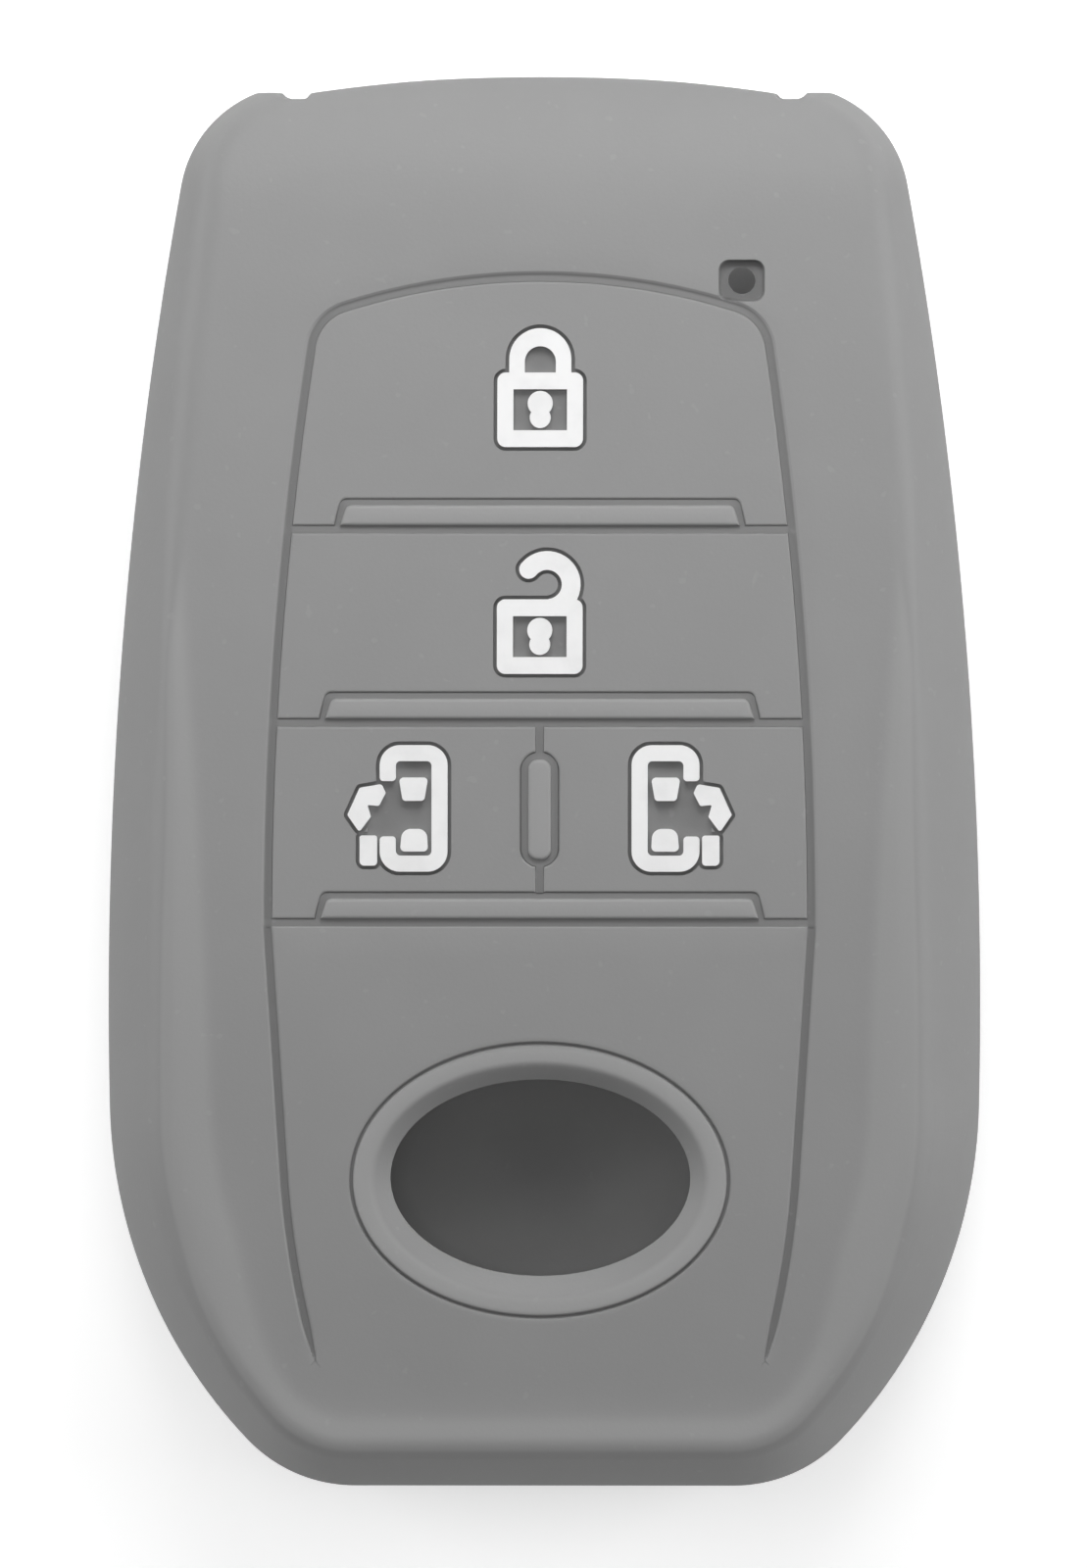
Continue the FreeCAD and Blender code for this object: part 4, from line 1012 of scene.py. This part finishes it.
def depth_marks():
    """Shared masks of painted light, from the depth under the crown and the place: Recess, Raised, Ring and
    Unwiped.

    Recess darkens the panel's grooves and the lamp's pocket as painted shade. Raised marks the ribs and Ring
    the window's ring for a painted highlight. Unwiped is the squared distance from the window's middle, one
    at the edge of its opening and beyond, and grades the painted light inside.
    """
    if "depth_marks" in bpy.data.node_groups:
        return bpy.data.node_groups["depth_marks"]
    tree, w, _, out = new_group("depth_marks", ("Recess", "Raised", "Ring", "Unwiped"))
    apart = w.node("ShaderNodeSeparateXYZ")
    w.put(apart, {0: w.node("ShaderNodeTexCoord").outputs["Object"]})
    x, y, z = apart.outputs
    off = w.math("SUBTRACT", y, CROWN_Y * MM)
    root = w.math("SQRT", w.math("MULTIPLY_ADD", w.product(off, off), -1.0, (CROWN_R * MM) ** 2))
    below = w.math("SUBTRACT", w.math("ADD", root, (FACE_HEIGHT - CROWN_R) * MM), z)
    ex = w.math("DIVIDE", x, RING_RX * MM)
    ey = w.math("DIVIDE", w.math("SUBTRACT", y, WINDOW_Y * MM), RING_RY * MM)
    away = w.math("SQRT", w.math("ADD", w.product(ex, ex), w.product(ey, ey)))
    reach = w.math("MINIMUM", w.math("DIVIDE", away, WINDOW_OPEN), 1.0)
    panel = w.product(w.math("LESS_THAN", w.math("ABSOLUTE", x), MARKED_HALF * MM),
                      w.math("LESS_THAN", y, MARKED_TOP_Y * MM),
                      w.math("GREATER_THAN", y, LOW_GROOVE_TIP_Y * MM),
                      w.math("GREATER_THAN", away, RING_CLEAR))
    # Painted shade: grooves under the crown inside the panel, and the lamp's pocket
    sunk = w.product(w.depth_ramp(below, SUNK_RAMP),
                     w.math("SUBTRACT", 1.0, w.depth_ramp(below, THROUGH_RAMP)))
    over = [w.math("LESS_THAN", w.math("ABSOLUTE", w.math("SUBTRACT", along, place * MM)), half * MM)
            for along, place, half in zip((x, y), LAMP, LAMP_HALF)]
    lamp = w.product(*over, w.depth_ramp(below, LAMP_RAMP))
    weight = w.math("MULTIPLY_ADD", lamp, 1.0 - GROOVE_SHADE, GROOVE_SHADE)
    w.put(out, {"Recess": w.product(sunk, panel, weight),
                "Raised": w.depth_ramp(w.product(below, -1.0), RAISED_RAMP),
                "Ring": w.product(w.ramp(away, *RING_IN_RAMP),
                                  w.math("SUBTRACT", 1.0, w.ramp(away, *RING_OUT_RAMP))),
                "Unwiped": w.product(reach, reach)})
    return tree


def blank_material(name):
    """Material with an empty tree, its wires, the Principled shader, and a Bump node for its normal."""
    material = bpy.data.materials.new(name)
    material.use_nodes = True
    material.node_tree.nodes.clear()
    w = Wires(material.node_tree)
    shader = w.node("ShaderNodeBsdfPrincipled")
    bump = w.node("ShaderNodeBump")
    w.put(shader, {"Normal": bump.outputs["Normal"]})
    w.put(w.node("ShaderNodeOutputMaterial"), {"Surface": shader.outputs["BSDF"]})
    return material, w, shader, bump


def opaque(colour, share=1.0):
    """A colour made darker to a share of itself, with full alpha."""
    return (*(share * c for c in colour), 1.0)


def matte_silicone():
    """Matte grey silicone: clouded, a painted highlight on ribs and the window's ring, painted shade in
    grooves and the lamp's pocket, painted light inside, dust specks, pebbled bump.
    """
    if "matte_silicone" in bpy.data.materials:
        return bpy.data.materials["matte_silicone"]
    colours = bpy.context.scene.fob_colours
    material, w, shader, bump = blank_material("matte_silicone")
    grain = w.node("ShaderNodeGroup", node_tree=moulded_grain()).outputs
    marks = w.node("ShaderNodeGroup", node_tree=depth_marks()).outputs
    pale_tone_and_highlight = opaque(colours.pale_tone_and_highlight)
    cloud = w.product(w.ramp(grain["Clouding"], 0.3, 0.75), CLOUD_SHARE)
    colour = w.mix(cloud, opaque(colours.silicone), pale_tone_and_highlight)
    # Painted highlight: paler on the raised ribs and on the window's ring
    painted_highlight = w.math("MAXIMUM", w.product(marks["Raised"], RIB_HIGHLIGHT), marks["Ring"])
    colour = w.mix(painted_highlight, colour, pale_tone_and_highlight)
    # Painted shade in the grooves and the lamp's pocket
    colour = w.mix(marks["Recess"], colour, opaque(colours.painted_shade))
    # Painted light inside: paler grey away from the window's middle, darker grey behind it
    inside = w.node("ShaderNodeAttribute", attribute_name="inside").outputs["Fac"]
    painted_inner_light = w.mix(marks["Unwiped"], opaque(colours.painted_inner_dim), opaque(colours.painted_inner_light))
    colour = w.mix(inside, colour, painted_inner_light)
    colour = w.mix(w.product(grain["Dust"], DUST_SHARE), colour, opaque((DUST_GREY,) * 3))
    w.put(shader, {"Base Color": colour, "Specular IOR Level": 0.4,
                   "Roughness": w.math("MULTIPLY_ADD", grain["Clouding"], 0.12, 0.52)})
    w.put(bump, {"Height": grain["Height"], "Strength": 0.25, "Distance": 0.03 * MM})
    return material


def white_filling():
    """White filled silicone: nearly even white, faint clouding and grain."""
    if "white_filling" in bpy.data.materials:
        return bpy.data.materials["white_filling"]
    white = bpy.context.scene.fob_colours.filling
    material, w, shader, bump = blank_material("white_filling")
    group = w.node("ShaderNodeGroup", node_tree=moulded_grain())
    w.put(group, {"Pebble": 5200.0, "Cloud": 420.0})
    grain = group.outputs
    cloud = w.product(w.ramp(grain["Clouding"], 0.4, 0.75), 0.5)
    w.put(shader, {"Base Color": w.mix(cloud, opaque(white), opaque(white, 0.86)),
                   "Roughness": w.math("MULTIPLY_ADD", grain["Clouding"], 0.15, 0.45)})
    w.put(bump, {"Height": grain["Height"], "Strength": 0.2, "Distance": 0.02 * MM})
    return material


def floor_paper():
    """Pale paper: white to the camera apart from the cover's shadow, with a faint fibre."""
    paper = bpy.context.scene.fob_colours.floor
    material, w, shader, bump = blank_material("floor_paper")
    group = w.node("ShaderNodeGroup", node_tree=moulded_grain())
    w.put(group, {"Pebble": 900.0, "Cloud": 25.0})
    grain = group.outputs
    seen = w.node("ShaderNodeLightPath").outputs["Is Camera Ray"]
    w.put(shader, {"Base Color": w.mix(grain["Clouding"], opaque(paper), opaque(paper, 0.97)),
                   "Roughness": 0.8, "Specular IOR Level": 0.1,
                   "Emission Color": (1, 1, 1, 1), "Emission Strength": w.product(seen, 0.5)})
    w.put(bump, {"Height": grain["Height"], "Strength": 0.05, "Distance": 0.05 * MM})
    return material


def mark_inside(obj, wall):
    """Point attribute for the inside of the moulding, where light is painted: a smooth step up deep in the
    wall.
    """
    place = np.empty(len(obj.data.vertices) * 3)
    obj.data.vertices.foreach_get("co", place)
    x, y, z = place.reshape(-1, 3).T / MM
    bulge = BULGE_R - np.sqrt(BULGE_R ** 2 - (z - PARTING_Z) ** 2)
    deep = np.minimum(np.minimum(rim_distance(x, y) - bulge, plain_face(x, y) - z), z)
    mark = obj.data.attributes.new("inside", "FLOAT", "POINT")
    mark.data.foreach_set("value", ease((deep / wall - INSIDE_FROM) / INSIDE_RUN))


def dress(obj, material):
    """Gives an object one material in its first slot."""
    if obj.data.materials:
        obj.data.materials[0] = material
    else:
        obj.data.materials.append(material)


class FOB_OT_sleeve(bpy.types.Operator):
    """Make the one-piece grey moulding"""

    bl_idname = "fob.sleeve"
    bl_label = "Sleeve"

    def execute(self, context):
        sleeve = piece_mesh("sleeve_skin", sleeve_skin(context.scene.fob_sizes))
        mark_inside(sleeve, shown(context.scene.fob_sizes.wall))
        dress(sleeve, matte_silicone())
        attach(sleeve, "cover")
        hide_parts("sleeve")
        return {"FINISHED"}


class FOB_OT_crossbars(bpy.types.Operator):
    """Make the crossbars between the buttons, their raised ribs and the capsule"""

    bl_idname = "fob.crossbars"
    bl_label = "Crossbars and ribs"

    def execute(self, context):
        sizes = context.scene.fob_sizes
        bars = piece_mesh("crossbars", crossbar_parts(shown(sizes.bar)) + groove_web(sizes))
        ribs = piece_mesh("ribs", rib_parts(shown(sizes.bar), shown(sizes.rib_rise)))
        for piece in (bars, ribs):
            dress(piece, matte_silicone())
            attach(piece, "cover")
            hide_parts("sleeve")
        return {"FINISHED"}


class FOB_OT_buttons(bpy.types.Operator):
    """Finish the four press pads"""

    bl_idname = "fob.buttons"
    bl_label = "Buttons"

    def execute(self, context):
        for name in ("lock_button", "unlock_button", "left_door_button", "right_door_button"):
            dress(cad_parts[name], matte_silicone())
        return {"FINISHED"}


class FOB_OT_pictograms(bpy.types.Operator):
    """Finish the white filled pictograms"""

    bl_idname = "fob.pictograms"
    bl_label = "Pictograms"

    def execute(self, context):
        for name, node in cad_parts.items():
            if name != "sleeve" and not name.endswith("_button"):
                dress(node, white_filling())
        return {"FINISHED"}


class FOB_OT_stage(bpy.types.Operator):
    """Set the floor, the light and the camera"""

    bl_idname = "fob.stage"
    bl_label = "Stage"

    def execute(self, context):
        scene = context.scene
        stage = scene.fob_stage
        scene.view_settings.view_transform = "Standard"

        side = np.linspace(-FLOOR_HALF, FLOOR_HALF, FLOOR_POINTS)
        flat = np.stack(np.meshgrid(side, side), 2).reshape(-1, 2) / MM
        net = with_height(flat, -FLOOR_GAP).reshape(FLOOR_POINTS, FLOOR_POINTS, 3)
        floor = piece_mesh("floor", [strip(net, closed=False)])
        dress(floor, floor_paper())

        world = bpy.data.worlds.new("studio")
        world.use_nodes = True
        world.node_tree.nodes.clear()
        w = Wires(world.node_tree)
        rays = w.node("ShaderNodeLightPath").outputs
        seen = w.math("MAXIMUM", rays["Is Camera Ray"], rays["Is Transmission Ray"])
        glow = w.node("ShaderNodeBackground")
        w.put(glow, {"Color": (1, 1, 1, 1),
                     "Strength": w.math("MULTIPLY_ADD", seen, 1.0 - stage.sky, stage.sky)})
        w.put(w.node("ShaderNodeOutputWorld"), {"Surface": glow.outputs["Background"]})
        scene.world = world

        for name, place, size, share in SOFTBOXES:
            light = bpy.data.lights.new(name, "AREA")
            light.shape = "RECTANGLE"
            light.size = size
            light.size_y = size * share
            light.energy = getattr(stage, name)
            lamp = bpy.data.objects.new(name, light)
            lamp.location = place
            lamp.rotation_euler = (-Vector(place)).to_track_quat("-Z", "Y").to_euler()
            scene.collection.objects.link(lamp)

        camera = bpy.data.cameras.new("camera")
        camera.sensor_width = SENSOR
        camera.lens = SENSOR * stage.distance / stage.view_height
        camera.clip_end = 20.0
        eye = bpy.data.objects.new("camera", camera)
        aim = Vector(AIM) * MM
        back = Vector((math.tan(stage.tilt_right), math.tan(stage.tilt_up), 1.0)).normalized()
        eye.location = aim + back * stage.distance
        eye.rotation_euler = (-stage.tilt_up, stage.tilt_right, 0.0)
        scene.collection.objects.link(eye)
        scene.camera = eye
        return {"FINISHED"}


STEPS = (FOB_OT_sleeve, FOB_OT_crossbars, FOB_OT_buttons, FOB_OT_pictograms, FOB_OT_stage)


class FOB_PT_cover(bpy.types.Panel):
    """Steps that build the key fob cover"""

    bl_label = "Key fob cover"
    bl_idname = "FOB_PT_cover"
    bl_space_type = "VIEW_3D"
    bl_region_type = "UI"
    bl_category = "Fob cover"

    def draw(self, context):
        for step in STEPS:
            self.layout.operator(step.bl_idname)
        for group in (context.scene.fob_sizes, context.scene.fob_colours, context.scene.fob_stage):
            column = self.layout.column()
            for name in group.__annotations__:
                column.prop(group, name)


CLASSES = (FobSizes, FobColours, FobStage) + STEPS + (FOB_PT_cover,)


def register():
    """Makes the classes known and adds the settings to the scene."""
    for cls in CLASSES:
        bpy.utils.register_class(cls)
    bpy.types.Scene.fob_sizes = PointerProperty(type=FobSizes)
    bpy.types.Scene.fob_colours = PointerProperty(type=FobColours)
    bpy.types.Scene.fob_stage = PointerProperty(type=FobStage)


def unregister():
    """Takes back what register did."""
    del bpy.types.Scene.fob_stage
    del bpy.types.Scene.fob_colours
    del bpy.types.Scene.fob_sizes
    for cls in reversed(CLASSES):
        bpy.utils.unregister_class(cls)


def main():
    """Builds the cover step by step."""
    register()
    bpy.ops.fob.sleeve()
    bpy.ops.fob.crossbars()
    bpy.ops.fob.buttons()
    bpy.ops.fob.pictograms()
    bpy.ops.fob.stage()


if __name__ == "__main__":
    main()
